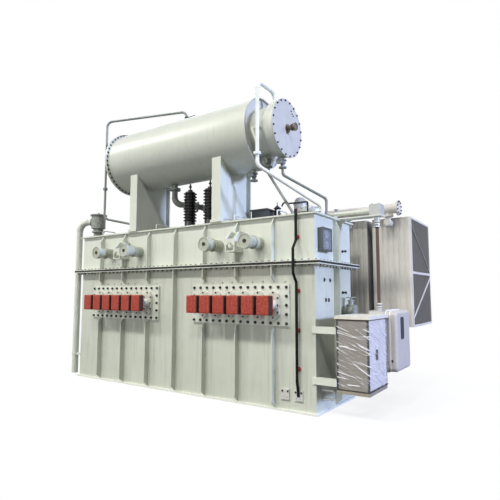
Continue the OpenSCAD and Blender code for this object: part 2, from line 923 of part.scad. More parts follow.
// Instruments and cabinets beside the tank's right end wall
module thermometer_box() {
    size = [80, 330, 340];
    frame_t = 14;
    frame_w = 32;
    frame_out = 6;
    low = 2325;
    window = [frame_t + 1, size[1] + 2 * frame_out - 2 * frame_w, size[2] + 2 * frame_out - 2 * frame_w];
    color([0.28, 0.30, 0.33])
        translate([right_x, front_y + 110, low])
            union() {
                cube([size[0] - frame_t, size[1], size[2]]);
                translate([size[0] - frame_t, -frame_out, -frame_out])
                    difference() {
                        cube([frame_t, size[1] + 2 * frame_out, size[2] + 2 * frame_out]);
                        translate([0, frame_w, frame_w])
                            cube(window);
                    }
            }
}

// Loops of round bar on the end walls, for towing the tank along: two legs and a bent bar butt-welded to them
loop_bar_d = 28;
tow_out = 200;
tow_h = 120;
tow_z = 210;
tow_in = 180;

module towing_loops() {
    bend_r = 1.5 * loop_bar_d;
    leg = tow_out - bend_r - 10;
    color(tank_paint)
        for (end = [-1, 1])
            for (y = [front_y + tow_in, back_y - tow_in]) {
                near = end * right_x;
                far = end * (right_x + tow_out);
                knee = near + end * leg;
                for (z = [tow_z, tow_z + tow_h])
                    rod([near, y, z], [knee - end * running, y, z], loop_bar_d);
                pipe([[knee, y, tow_z], [far, y, tow_z], [far, y, tow_z + tow_h], [knee, y, tow_z + tow_h]],
                    loop_bar_d, bend_r);
            }
}

arm_w = 70;
arm_h = 92;
arm_low = 90;
arm_high = 795;
arm_drop = 210;
cab_arm_z = [cab_z + arm_low, cab_z + arm_high];
drive_arm_z = [drive_z + arm_low, drive_z + drive_h - arm_drop];

module bracket_arms() {
    lap = 50;
    lap_t = 20;
    color(tank_paint) {
        for (z = cab_arm_z) {
            translate([right_x, front_y, z])
                cube([cab_gap, arm_w, arm_h]);
            translate([right_x - lap, front_y - lap_t, z])
                cube([cab_gap + lap, lap_t, arm_h]);
            translate([right_x, cab_y + cab_d - arm_w, z])
                cube([cab_gap, arm_w, arm_h]);
        }
        for (z = drive_arm_z)
            for (y = [drive_y + 100, back_y - arm_w - 40])
                translate([right_x, y, z])
                    cube([drive_x - right_x, arm_w, arm_h]);
    }
}

cab_base_h = 60;
cab_roof_h = 46;
cab_door_t = 24;

module cabinet_base() {
    post = 50;
    color([0.42, 0.40, 0.36])
        translate([cab_x, cab_y, cab_z])
            difference() {
                cube([cab_w, cab_d, cab_base_h]);
                translate([post, post, -1])
                    cube([cab_w - 2 * post, cab_d - 2 * post, cab_base_h + 2]);
            }
}

module cabinet_body() {
    color([0.72, 0.68, 0.60])
        translate([cab_x, cab_y, cab_z + cab_base_h])
            cube([cab_w - cab_door_t, cab_d, cab_h - cab_base_h - cab_roof_h]);
}

module cabinet_door() {
    edge = 14;
    handle = [22, 26, 130];
    door_h = cab_h - cab_base_h - cab_roof_h;
    color([0.82, 0.83, 0.86])
        translate([cab_x + cab_w - cab_door_t, cab_y, cab_z + cab_base_h])
            union() {
                translate([0, edge, edge])
                    cube([cab_door_t, cab_d - 2 * edge, door_h - 2 * edge]);
                translate([cab_door_t, 0.36 * cab_d, 0.42 * door_h])
                    cube(handle);
            }
}

module cabinet_roof() {
    over = 26;
    color([0.80, 0.79, 0.74])
        translate([cab_x - over, cab_y - over, cab_z + cab_h - cab_roof_h])
            cube([cab_w + 2 * over, cab_d + 2 * over, cab_roof_h]);
}

// A prism along X with round corners
module rounded(w, h, r, l) {
    translate([0, r, 0])
        cube([l, w - 2 * r, h]);
    translate([0, 0, r])
        cube([l, w, h - 2 * r]);
    for (y = [r, w - r])
        for (z = [r, h - r])
            translate([0, y, z])
                rotate([0, 90, 0])
                    cylinder(h = l, r = r);
}

drive_r = 70;
seal_gap = 5;
rim_out = 18;
rim_t = 14;
knuckle_d = pin_d + 14;
knuckle_h = 60;
ear_h = 20;
seam_x = drive_x + drive_body;
hinge = [seam_x + knuckle_d / 2, drive_y + drive_w + rim_out + knuckle_d / 2 + 3];
hinge_z = [drive_z + 0.2 * drive_h, drive_z + 0.8 * drive_h];
shaft_at = [drive_x + 130, shaft_y];
journal_d = 30;
boss_h = 46;
drive_top = drive_z + drive_h;

module drive_housing() {
    color([0.70, 0.72, 0.76])
        difference() {
            union() {
                translate([drive_x, drive_y, drive_z])
                    rounded(drive_w, drive_h, drive_r, drive_body - rim_t);
                translate([shaft_at[0], shaft_at[1], drive_top - drive_t])
                    cylinder(h = drive_t + boss_h, d = 2.6 * journal_d);
            }
            translate([drive_x + drive_t, drive_y + drive_t, drive_z + drive_t])
                rounded(drive_w - 2 * drive_t, drive_h - 2 * drive_t, drive_r - drive_t, drive_body);
            translate([shaft_at[0], shaft_at[1], drive_top + 1])
                cylinder(h = boss_h, d = journal_d + 2 * running);
        }
}

// Frame round the mouth of the motor drive, with the hinge pins in their ears
module drive_rim() {
    color([0.78, 0.80, 0.82]) {
        difference() {
            translate([seam_x - rim_t, drive_y - rim_out, drive_z - rim_out])
                rounded(drive_w + 2 * rim_out, drive_h + 2 * rim_out, drive_r + rim_out, rim_t);
            translate([seam_x - rim_t - 1, drive_y + drive_t, drive_z + drive_t])
                rounded(drive_w - 2 * drive_t, drive_h - 2 * drive_t, drive_r - drive_t, rim_t + 2);
        }
        for (z = hinge_z) {
            for (end = [-1, 1])
                translate([0, 0, z + end * (knuckle_h + ear_h + 1) / 2 - ear_h / 2]) {
                    translate([hinge[0], hinge[1], 0])
                        cylinder(h = ear_h, d = knuckle_d);
                    translate([seam_x - rim_t, hinge[1] - knuckle_d / 2 - 6, 0])
                        cube([hinge[0] - seam_x + rim_t, knuckle_d / 2 + 6, ear_h]);
                }
            translate([hinge[0], hinge[1], z - knuckle_h / 2 - ear_h])
                cylinder(h = knuckle_h + 2 * ear_h, d = pin_d);
        }
    }
}

// A deep door with soft front edges, hung on two knuckles
module drive_door() {
    x0 = seam_x + seal_gap;
    front = seam_x + drive_lid;
    soft = 45;
    color([0.74, 0.76, 0.80])
        difference() {
            union() {
                hull()
                    for (y = [drive_y + drive_r, drive_y + drive_w - drive_r])
                        for (z = [drive_z + drive_r, drive_top - drive_r]) {
                            translate([x0, y, z])
                                rotate([0, 90, 0])
                                    cylinder(h = 30, r = drive_r, $fn = 32);
                            translate([front - soft, y, z])
                                rotate([0, 90, 0])
                                    rotate_extrude($fn = 32)
                                        translate([drive_r - soft, 0])
                                            intersection() {
                                                circle(r = soft, $fn = 32);
                                                square(soft);
                                            }
                        }
                for (z = hinge_z) {
                    translate([hinge[0], hinge[1], z - knuckle_h / 2])
                        cylinder(h = knuckle_h, d = knuckle_d);
                    translate([hinge[0] - 7, drive_y + drive_w - drive_t, z - knuckle_h / 2])
                        cube([14, hinge[1] - drive_y - drive_w + drive_t, knuckle_h]);
                }
            }
            translate([x0 - 1, drive_y + drive_t, drive_z + drive_t])
                rounded(drive_w - 2 * drive_t, drive_h - 2 * drive_t, drive_r - drive_t,
                    drive_lid - seal_gap - soft + 1);
            for (z = hinge_z)
                translate([hinge[0], hinge[1], z - knuckle_h])
                    cylinder(h = 2 * knuckle_h, d = pin_d + 2 * running);
        }
}

// Drive shaft up to the bevel gear on its arm
arm_t = 22;
gear_z = cover_top + arm_t;
gear_size = 180;
gear_h = 165;
gear_boss_h = 90;
coupling_d = 76;
coupling_h = 70;

module drive_shaft() {
    low = drive_top + boss_h;
    high = cover_top - gear_boss_h;
    color([0.42, 0.34, 0.30])
        translate([shaft_at[0], shaft_at[1], 0])
            union() {
                translate([0, 0, low - boss_h + 2])
                    cylinder(h = boss_h + coupling_h, d = journal_d);
                translate([0, 0, low + 5])
                    cylinder(h = coupling_h, d = coupling_d);
                translate([-shaft_w / 2, -shaft_w / 2, low + 5 + coupling_h])
                    cube([shaft_w, shaft_w, high - low - 10 - 2 * coupling_h]);
                translate([0, 0, high - 5 - coupling_h])
                    cylinder(h = coupling_h, d = coupling_d);
                translate([0, 0, high - coupling_h])
                    cylinder(h = coupling_h + 40, d = journal_d);
            }
}

module bevel_gear() {
    color([0.68, 0.69, 0.68])
        union() {
            translate([shaft_at[0] - gear_size / 2, shaft_at[1] - gear_size / 2, gear_z])
                cube([gear_size, gear_size, gear_h]);
            translate([shaft_at[0] - 0.4 * gear_size, shaft_at[1] - 0.4 * gear_size, gear_z + gear_h])
                cube([0.8 * gear_size, 0.8 * gear_size, 10]);
        }
}

module gear_arm() {
    guard_d = 60;
    arm_x = right_x - 100;
    half = 0.55 * gear_size;
    color([0.78, 0.80, 0.76])
        union() {
            difference() {
                union() {
                    translate([arm_x, shaft_at[1] - half, cover_top])
                        cube([shaft_at[0] + half - arm_x, 2 * half, arm_t]);
                    translate([shaft_at[0], shaft_at[1], cover_top - gear_boss_h])
                        cylinder(h = gear_boss_h + 1, d = 2.8 * journal_d);
                }
                translate([shaft_at[0], shaft_at[1], cover_top - gear_boss_h - 1])
                    cylinder(h = 46, d = journal_d + 2 * running);
            }
            difference() {
                translate([head_at[0], shaft_at[1], gear_z + gear_h / 2])
                    rotate([0, 90, 0])
                        cylinder(h = shaft_at[0] - gear_size / 2 - head_at[0], d = guard_d);
                translate(head_at)
                    cylinder(h = 2 * gear_h, d = head_neck);
            }
            translate([arm_x, shaft_at[1] - guard_d / 4, gear_z - 1])
                cube([60, guard_d / 2, gear_h / 2]);
        }
}

// Radiators behind the tank, hung between two oil headers
rad_right = right_x + 890;
header_y = drive_y + drive_w + 150;
header_gap = 130;
rad_front = header_y + header_gap;
rad_z = 1149;
tube_d = 110;
tube_in = 95;
header_off = 236;
stub_flange = 170;
stub_flange_t = 20;
stub_end = 15;
flute = 14;
rad_top_tube = rad_z + rad_h - tube_in;
rad_low_tube = rad_z + tube_in;
rad_back = rad_front + (panel_count - 1) * panel_pitch;
rad_face = rad_front - panel_t / 2 - flute;

function rad_x(i) = rad_right - rad_w / 2 - i * rad_pitch;

// Outline of a pressed panel seen from above, with its row of flutes
function flutes(w, t, deep, n) = let (step = w / n)
    concat([for (i = [0:n - 1]) each [[i * step, -t / 2], [(i + 0.25) * step, -t / 2 - deep],
        [(i + 0.75) * step, -t / 2 - deep]]], [[w, -t / 2], [w, t / 2], [0, t / 2]]);

module panel(x, y, facing) {
    translate([x - facing * rad_w / 2, y, rad_z])
        rotate([0, 0, facing > 0 ? 0 : 180])
            linear_extrude(rad_h)
                polygon(flutes(rad_w, panel_t, flute, 7));
}

module radiator(x) {
    panel(x, rad_front, 1);
    panel(x, rad_back, -1);
    for (i = [1:panel_count - 2])
        translate([x - rad_w / 2, rad_front + i * panel_pitch - panel_t / 2, rad_z])
            cube([rad_w, panel_t, rad_h]);
    for (z = [rad_low_tube, rad_top_tube])
        translate([x, rad_face, z])
            rotate([-90, 0, 0])
                cylinder(h = rad_back - rad_face, d = tube_d);
}

module radiators() {
    color([0.80, 0.78, 0.72])
        for (i = [0:rad_count - 1])
            radiator(rad_x(i));
}

// A short neck from a radiator's front panel, turned up or down to the header's stub
module radiator_neck(x, z, up) {
    from_y = header_y - tube_d / 2 - stub_end;
    translate([x, from_y, z])
        rotate([-90, 0, 0])
            cylinder(h = rad_face - from_y, d = tube_d);
    translate([x, header_y, z]) {
        rod([0, 0, 0], [0, 0, up * header_off / 2], 0.8 * tube_d);
        rod([0, 0, up * (header_off / 2 - stub_flange_t)], [0, 0, up * header_off / 2], stub_flange);
    }
}

module radiator_necks() {
    color([0.80, 0.78, 0.72])
        for (i = [0:rad_count - 1]) {
            radiator_neck(rad_x(i), rad_top_tube, 1);
            radiator_neck(rad_x(i), rad_low_tube, -1);
        }
}

// One header from the tank's back wall along the row, with a stub for each radiator
module header(z, up, end_x) {
    from_x = rib_pitch / 2;
    root_z = z - 485;
    bend = header_d;
    union() {
        pipe([[from_x, back_y, root_z], [from_x, header_y, root_z], [from_x, header_y, z],
            [end_x, header_y, z]], header_d, bend);
        disc([from_x, back_y, root_z], [0, 1, 0], 1.7 * header_d, 24);
        disc([end_x, header_y, z], [1, 0, 0], 1.5 * header_d, 30);
        for (i = [0:rad_count - 1])
            translate([rad_x(i), header_y, z]) {
                rod([0, 0, 0], [0, 0, -up * header_off / 2], 0.8 * tube_d);
                rod([0, 0, -up * (header_off / 2 - stub_flange_t)], [0, 0, -up * header_off / 2],
                    stub_flange);
            }
    }
}

module oil_headers() {
    color([0.80, 0.79, 0.74]) {
        header(rad_top_tube + header_off, 1, rad_x(0) + stub_flange / 2 + 70);
        header(rad_low_tube - header_off, -1, rad_x(0) + stub_flange / 2 + 20);
    }
}

// Flat ties on the outer side of the row: one across the middle and two slanting
module tie_bar(a, b) {
    bar_w = 40;
    way = b - a;
    translate(a)
        rotate(atan2(way[1], way[0]))
            translate([0, -bar_w / 2])
                square([norm(way), bar_w]);
}

module radiator_ties() {
    depth = rad_back - rad_front;
    tie_t = 6;
    color([0.72, 0.71, 0.67])
        translate([rad_right, rad_front, rad_z])
            rotate([90, 0, 90])
                linear_extrude(tie_t)
                    union() {
                        tie_bar([0, 0.49 * rad_h], [depth, 0.49 * rad_h]);
                        tie_bar([20, 0.93 * rad_h], [depth - 20, 0.53 * rad_h]);
                        tie_bar([20, 0.08 * rad_h], [depth - 20, 0.45 * rad_h]);
                    }
}

base_plate();
lower_tank();
lower_ribs();
lower_flange();
flange_gasket();
upper_flange();
upper_tank();
upper_ribs();
tank_cover();
terminal_plates();
terminal_insulators();
terminal_covers();
bollards();
lifting_lugs();
conservator_shell();
conservator_left_end();
conservator_right_end();
tap_drum();
tap_drum_cover();
level_gauge();
pedestals();
breather_pipe();
loop_pipe();
loop_pipe_bracket();
oil_pipes();
shutoff_valves();
relay_pipe();
gas_relay();
relay_outlet();
high_voltage_bushings();
neutral_bushing();
cover_box();
tap_changer_head();
relief_valve();
relief_pipe();
earth_strap();
strap_clamps();
earth_pads();
thermometer_box();
towing_loops();
bracket_arms();
cabinet_base();
cabinet_body();
cabinet_door();
cabinet_roof();
drive_housing();
drive_rim();
drive_door();
drive_shaft();
bevel_gear();
gear_arm();
oil_headers();
radiators();
radiator_necks();
radiator_ties();
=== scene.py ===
import math

import bmesh
import bpy
import numpy as np
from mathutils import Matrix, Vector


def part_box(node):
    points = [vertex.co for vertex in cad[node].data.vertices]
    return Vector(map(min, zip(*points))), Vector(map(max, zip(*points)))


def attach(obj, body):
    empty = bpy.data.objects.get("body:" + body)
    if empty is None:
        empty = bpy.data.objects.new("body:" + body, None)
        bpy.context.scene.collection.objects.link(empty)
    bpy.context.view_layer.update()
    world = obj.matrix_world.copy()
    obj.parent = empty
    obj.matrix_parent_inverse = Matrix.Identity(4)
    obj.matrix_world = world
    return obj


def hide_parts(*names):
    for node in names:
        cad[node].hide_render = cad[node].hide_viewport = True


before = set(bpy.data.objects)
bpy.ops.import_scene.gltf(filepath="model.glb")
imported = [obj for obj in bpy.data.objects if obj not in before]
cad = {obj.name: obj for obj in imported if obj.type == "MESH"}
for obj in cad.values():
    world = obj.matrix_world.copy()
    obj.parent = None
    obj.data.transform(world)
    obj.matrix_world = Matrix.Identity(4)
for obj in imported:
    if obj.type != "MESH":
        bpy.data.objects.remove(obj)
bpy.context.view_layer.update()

# View: a standing person's eye, in front of the tank and to the right of it.
# The lens and the turn follow from the edges of the tank in the picture.
eye = (5.5303, -6.4569, 1.6991)
tilt, lean, heading = 95.57, -0.06, 34.35
lens_mm, film_mm = 32.03, 36.0

camera = bpy.data.cameras.new("eye")
camera.lens, camera.sensor_width = lens_mm, film_mm
viewer = bpy.data.objects.new("eye", camera)
viewer.location = eye
viewer.rotation_euler = [math.radians(a) for a in (tilt, lean, heading)]
bpy.context.scene.collection.objects.link(viewer)
bpy.context.scene.camera = viewer
bpy.context.scene.view_settings.view_transform = "Standard"


def linear(code):
    """The linear colour of an sRGB hex code: the standard curve on each of its three bytes."""
    s = np.array([int(code[i:i + 2], 16) / 255 for i in (1, 3, 5)])
    rgb = np.where(s <= 0.04045, s / 12.92, ((s + 0.055) / 1.055) ** 2.4)
    return (*rgb.tolist(), 1.0)


def add(tree, kind, links=None, **settings):
    """Adds one node: settings are its own choices, links give each input a value or another node's output."""
    made = tree.nodes.new(kind)
    for name, value in settings.items():
        setattr(made, name, value)
    for name, value in (links or {}).items():
        if isinstance(value, bpy.types.NodeSocket):
            tree.links.new(value, made.inputs[name])
        else:
            made.inputs[name].default_value = value
    return made


# Daylight: a row of high lights in front that cross from left and right, a low glow from the open front, and open
# sky on the right and behind. A pale sky fills the shade, and shows white behind the object and in its glossy paint.
sunlit, open_sky, blue_sky, white = "#fefcf7", "#e2e9f8", "#c2d0ff", "#ffffff"
fill_strength = 0.16
sky = bpy.data.worlds.new("sky")
sky.use_nodes = True
bpy.context.scene.world = sky
sky_tree = sky.node_tree
sky_tree.nodes.clear()
rays = add(sky_tree, "ShaderNodeLightPath").outputs
direct = add(sky_tree, "ShaderNodeMath", {0: rays["Is Camera Ray"], 1: rays["Is Transmission Ray"]},
             operation="MAXIMUM").outputs[0]
direct = add(sky_tree, "ShaderNodeMath", {0: direct, 1: rays["Is Glossy Ray"]}, operation="MAXIMUM").outputs[0]
fill = add(sky_tree, "ShaderNodeBackground", {"Color": linear(open_sky), "Strength": fill_strength}).outputs[0]
plain = add(sky_tree, "ShaderNodeBackground", {"Color": linear(white), "Strength": 1.0}).outputs[0]
sky_light = add(sky_tree, "ShaderNodeMixShader", {0: direct, 1: fill, 2: plain}).outputs[0]
add(sky_tree, "ShaderNodeOutputWorld", {"Surface": sky_light})

# Each light's name, strength, spread in degrees, tint, and its turn in degrees.
lights = (("front_left", 0.84, 6.0, sunlit, (56.0, 0.0, -58.0)),
          ("front_mid_left", 0.91, 6.0, sunlit, (41.5, 0.0, -28.0)),
          ("front_mid", 0.95, 6.0, sunlit, (37.8, 0.0, 2.0)),
          ("front_right", 0.69, 6.0, sunlit, (42.0, 0.0, 32.0)),
          ("front_glow", 0.92, 40.0, sunlit, (84.0, 0.0, -10.0)),
          ("open_sky_right", 3.6, 9.0, blue_sky, (78.0, 0.0, 93.0)),
          ("open_sky_behind", 1.5, 60.0, open_sky, (52.0, 0.0, 200.0)))
for name, energy, spread, tint, turn in lights:
    lamp = bpy.data.lights.new(name, "SUN")
    lamp.energy, lamp.angle, lamp.color = energy, math.radians(spread), linear(tint)[:3]
    hung = bpy.data.objects.new(name, lamp)
    hung.rotation_euler = [math.radians(a) for a in turn]
    bpy.context.scene.collection.objects.link(hung)


# Floor: a level floor that shows white with a faint shadow, and throws only a little light back up.
# It is part of the stage and not of the object.
def mesh_of(name, points, faces, crease=None):
    """One object from an array of points and an array of faces: doubled points at poles and seams are merged,
    faces are turned outwards, and with a crease in degrees only edges sharper than that stay sharp."""
    made = bpy.data.meshes.new(name)
    made.from_pydata(np.asarray(points, float).tolist(), [], np.asarray(faces).tolist())
    work = bmesh.new()
    work.from_mesh(made)
    bmesh.ops.remove_doubles(work, verts=work.verts, dist=1e-6)
    bmesh.ops.recalc_face_normals(work, faces=work.faces)
    work.to_mesh(made)
    work.free()
    if crease is not None:
        made.shade_smooth()
        made.set_sharp_from_angle(angle=math.radians(crease))
    built = bpy.data.objects.new(name, made)
    bpy.context.scene.collection.objects.link(built)
    return built


def blank(name):
    """A new node material: the material itself, its node tree and the tree's shader."""
    made = bpy.data.materials.new(name)
    made.use_nodes = True
    return made, made.node_tree, made.node_tree.nodes["Principled BSDF"]


def place_in(tree):
    """The object's own coordinates, in metres."""
    return add(tree, "ShaderNodeTexCoord").outputs["Object"]


def ranged(tree, value, low, high, least=0.0, most=1.0, **settings):
    """A value carried over from the span between low and high to the span between least and most."""
    spans = {"Value": value, "From Min": low, "From Max": high, "To Min": least, "To Max": most}
    return add(tree, "ShaderNodeMapRange", spans, **settings).outputs["Result"]


def mixed(tree, share, first, second):
    """Two colours mixed: a share of 0 gives the first, a share of 1 the second."""
    return add(tree, "ShaderNodeMix", {0: share, 6: first, 7: second}, data_type="RGBA").outputs[2]


floor_half, floor_z = 60.0, -0.002
floor_plan = floor_half * np.array([(-1, -1), (1, -1), (1, 1), (-1, 1)])
floor = mesh_of("floor", np.column_stack([floor_plan, np.full(4, floor_z)]), [[0, 1, 2, 3]])
pale_floor, tree, shader = blank("pale_floor")
shader.inputs["Roughness"].default_value = 0.9
white_from, white_to, white_least = 3.0, 6.0, 0.82
reach = add(tree, "ShaderNodeVectorMath", {0: place_in(tree)}, operation="LENGTH").outputs["Value"]
far = ranged(tree, reach, white_from, white_to, white_least, interpolation_type="SMOOTHSTEP")
rays = add(tree, "ShaderNodeLightPath").outputs
seen = mixed(tree, rays["Is Camera Ray"], linear("#5e5f60"), linear("#f6f6f6"))
tree.links.new(seen, shader.inputs["Base Color"])
share = add(tree, "ShaderNodeMath", {0: far, 1: rays["Is Camera Ray"]}, operation="MULTIPLY").outputs[0]
glow = add(tree, "ShaderNodeEmission", {"Color": linear(white), "Strength": 1.0}).outputs[0]
ground = add(tree, "ShaderNodeMixShader", {0: share, 1: shader.outputs[0], 2: glow}).outputs[0]
tree.links.new(ground, tree.nodes["Material Output"].inputs["Surface"])
floor.data.materials.append(pale_floor)


# Tank: welded steel plate in two halves on a thick base plate with towing loops, sprayed with grey-green enamel and
# dusty from standing in the open. Flat bars are welded upright to its walls as ribs.
def noise(tree, place, size_mm, detail, rough=0.5):
    """Noise whose largest features have a size in millimetres."""
    scales = {"Vector": place, "Scale": 1000 / size_mm, "Detail": detail, "Roughness": rough}
    return add(tree, "ShaderNodeTexNoise", scales).outputs["Fac"]


def surface(tree, shader, colour, rough, height, bump, deep):
    """Joins a shader to its colour, its roughness and a relief that is as deep as given, in metres."""
    relief = add(tree, "ShaderNodeBump", {"Height": height, "Strength": bump, "Distance": deep}).outputs["Normal"]
    for name, value in (("Base Color", colour), ("Roughness", rough), ("Normal", relief)):
        tree.links.new(value, shader.inputs[name])


def enamel(name, paint, shade, grime, rough=0.42, streak=0.5, run_mm=45, cloud_mm=700):
    """Sprayed enamel on steel. Broad noise moves the paint between two tones, noise stretched upright lays rain
    streaks of grime, and fine noise gives the orange peel of the spray, drawn coarser than life so that it shows."""
    run_draw, peel_mm, peel_bump, peel_deep = 25, 14, 0.10, 0.001
    tone_span, run_span, dull_span = (0.34, 0.68), (0.54, 0.80), (0.3, 0.7)
    made, tree, shader = blank(name)
    place = place_in(tree)
    cloud = noise(tree, place, cloud_mm, detail=6.0, rough=0.62)
    tone = mixed(tree, ranged(tree, cloud, *tone_span), linear(paint), linear(shade))
    run_scale = (1000 / run_mm, 1000 / run_mm, 1000 / (run_draw * run_mm))
    drawn = add(tree, "ShaderNodeMapping", {"Vector": place, "Scale": run_scale}).outputs["Vector"]
    runs = ranged(tree, noise(tree, drawn, 1000, detail=4.0), *run_span, most=streak)
    soiled = mixed(tree, runs, tone, linear(grime))
    dull = ranged(tree, cloud, *dull_span, least=rough - 0.06, most=rough + 0.12)
    surface(tree, shader, soiled, dull, noise(tree, place, peel_mm, detail=2.0), peel_bump, peel_deep)
    return made


def paint_nodes(material, *names):
    """Gives CAD nodes one material in every slot they have."""
    for name in names:
        slots = cad[name].data.materials
        if not slots:
            slots.append(material)
        for i in range(len(slots)):
            slots[i] = material


# The upper half, the flanges, the pedestals, the lugs, the arms and the relief pipe get a lighter copy of the tank's
# enamel: painted light for their brighter lit faces.
lit_paint = "#dce0d5", "#d3d8cb", "#aeb2a4"
tank_enamel = enamel("grey_green_enamel", "#cdd1c4", "#c2c7b9", "#9d9f92")
paint_nodes(tank_enamel, "lower_tank", "lower_ribs")
pale_enamel = enamel("pale_grey_enamel", "#eef0e8", "#e4e6dd", "#b9bbae", streak=0.4)
paint_nodes(pale_enamel, "base_plate", "towing_loops")
lit_enamel = enamel("lit_grey_green_enamel", *lit_paint, streak=0.4)
paint_nodes(lit_enamel, "lower_flange", "upper_flange", "upper_tank", "upper_ribs", "pedestals", "lifting_lugs",
            "loop_pipe_bracket", "bracket_arms", "gear_arm")


# Cover: a steel plate welded on the upper half, in the lighter copy of the tank's enamel.
# It is lighter at its rim, and its flat top is painted a darker grey so that it throws less light up under the
# conservator.
def axes_in(tree):
    """The object's own coordinates as separate X, Y and Z."""
    return add(tree, "ShaderNodeSeparateXYZ", {0: place_in(tree)}).outputs


def darkened_above(material, low, high, dust_and_shade, most=1.0):
    """A darker colour laid over the upper part: between two heights the paint gives way, smoothly, to it. It is
    painted shade on the conservator and the radiator ties, and a darker top on the cover that throws less light.
    """
    tree = material.node_tree
    base = tree.nodes["Principled BSDF"].inputs["Base Color"]
    share = ranged(tree, axes_in(tree)["Z"], low, high, most=most, interpolation_type="SMOOTHSTEP")
    tree.links.new(mixed(tree, share, base.links[0].from_socket, linear(dust_and_shade)), base)
    return material


# The cover's flat top is painted darker so that it throws less light up onto the conservator's underside.
cover_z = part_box("tank_cover")[1].z
dark_top_starts, dark_top_covers = 0.0015, 0.0005
cover_dark_top_enamel = darkened_above(enamel("dark_top_cover_enamel", *lit_paint, streak=0.4),
                      cover_z - dark_top_starts, cover_z - dark_top_covers, "#7d7c72")
paint_nodes(cover_dark_top_enamel, "tank_cover")


# Bolted joint: two flange rings with a black rubber gasket whose lip laps over their edges, held by hexagon
# bolts all round. The heads sit on the upper ring, the nuts on washers under the lower one.
def moulded(name, body, dust_and_shade, rough, grain_mm=30, bump=0.05, metal=0.0):
    """Plain moulded or cast stuff: fine noise mixes a little dust into the body colour and dulls its gloss."""
    grain_deep, dust_span, dull_span = 0.002, (0.42, 0.75), (0.3, 0.7)
    made, tree, shader = blank(name)
    shader.inputs["Metallic"].default_value = metal
    grain = noise(tree, place_in(tree), grain_mm, detail=5.0, rough=0.6)
    colour = mixed(tree, ranged(tree, grain, *dust_span), linear(body), linear(dust_and_shade))
    dull = ranged(tree, grain, *dull_span, least=rough - 0.05, most=rough + 0.10)
    surface(tree, shader, colour, dull, grain, bump, grain_deep)
    return made


def loft(rings):
    """A skin over closed rings of points: each face joins two neighbours of a ring to the same two of the next."""
    rings = np.asarray(rings, float)
    count, sides = rings.shape[:2]
    i, j = np.meshgrid(np.arange(count - 1), np.arange(sides), indexing="ij")
    k = (j + 1) % sides
    faces = np.stack([i * sides + j, i * sides + k, (i + 1) * sides + k, (i + 1) * sides + j], -1)
    return rings.reshape(-1, 3), faces.reshape(-1, 4)


def turned(profile, sides):
    """A profile of (radius, height) pairs carried round the Z axis: x = r cos a, y = r sin a, z = height."""
    r, h = np.array(profile, float).T
    a = np.arange(sides) * 2 * np.pi / sides
    return loft(np.stack([np.outer(r, np.cos(a)), np.outer(r, np.sin(a)), np.repeat(h[:, None], sides, 1)], -1))


def joined(*shapes):
    """Several shapes as one: their points in one array, and their faces counted on."""
    counts = np.cumsum([0] + [len(p) for p, _ in shapes[:-1]])
    return np.concatenate([p for p, _ in shapes]), np.concatenate([f + c for (_, f), c in zip(shapes, counts)])


def lifted(shape, height):
    """A shape moved up its own Z axis."""
    return shape[0] + (0, 0, height), shape[1]


def placed(shape, spots, way=(0, 0, 1)):
    """A copy of a shape at each spot with its Z axis along way: spot + x u + y v + z way, for all copies at once."""
    points, faces = shape
    way = np.array(way, float) / np.linalg.norm(way)
    u = np.cross((0, 1, 0) if abs(way[1]) < 0.9 else (0, 0, 1), way)
    u = u / np.linalg.norm(u)
    axes = np.array([u, np.cross(way, u), way])
    spots = np.asarray(spots, float).reshape(-1, 3)
    copies = (spots[:, None] + points @ axes).reshape(-1, 3)
    return copies, (faces[None] + len(points) * np.arange(len(spots))[:, None, None]).reshape(-1, 4)


def spots_at(x, y, z):
    """Spots from their coordinates, where a single number is the same for all of them."""
    return np.column_stack(np.broadcast_arrays(x, y, z))


def round_edge(x, y, half_x, half_y):
    """Spots on the four sides of a rectangle as (x, y) pairs: a row of x on both long sides, of y on both short."""
    long_sides = [np.column_stack([x, np.full(len(x), side * half_y)]) for side in (-1, 1)]
    short_sides = [np.column_stack([np.full(len(y), side * half_x), y]) for side in (-1, 1)]
    return np.concatenate(long_sides + short_sides)


def hexagon(across, height, bevel=0.15):
    """A hexagon head with its corners turned off, standing on Z = 0."""
    r = across / math.sqrt(3)
    return turned([(0, 0), (r, 0), (r, height * (1 - bevel)), (r * 0.88, height), (0, height)], 6)


def bolt(across, head, radius, thick):
    """A hexagon head on a round washer of a radius and a thickness, standing on Z = 0."""
    washer = turned([(0, 0), (radius, 0), (radius, thick), (0, thick)], 16)
    return joined(washer, lifted(hexagon(across, head), thick))


def slab(low, high, bevel=0.003):
    """A plate between two corners with eased edges: rectangles stacked along Z, the first and last drawn in."""
    low, high = np.array(low, float), np.array(high, float)
    mid, half = (low + high)[:2] / 2, (high - low)[:2] / 2
    spread = np.array([half * 0, half - bevel, half, half, half - bevel, half * 0])
    heights = np.array([low[2], low[2], low[2] + bevel, high[2] - bevel, high[2], high[2]])
    plan = mid + spread[:, None] * np.array([(-1, -1), (1, -1), (1, 1), (-1, 1)])
    return loft(np.concatenate([plan, np.repeat(heights[:, None, None], 4, 1)], -1))


def hoop(low, high, out, back, bevel):
    """Four bars round the upright sides of a box: each reaches out from its side and back into it. The first two
    run past the corners, and the other two fit between them."""
    (x0, y0, z0), (x1, y1, z1) = low, high
    bars = [slab((x0 - out, y - a, z0), (x1 + out, y + b, z1), bevel)
            for y, a, b in ((y0, out, back), (y1, back, out))]
    bars += [slab((x - a, y0 + back, z0), (x + b, y1 - back, z1), bevel)
             for x, a, b in ((x0, out, back), (x1, back, out))]
    return joined(*bars)


def dress(name, shape, material, body="transformer", crease=32):
    """Makes a shape a piece of the object: its material and the body it rides on."""
    piece = mesh_of(name, *shape, crease=crease)
    piece.data.materials.append(material)
    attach(piece, body)
    return piece


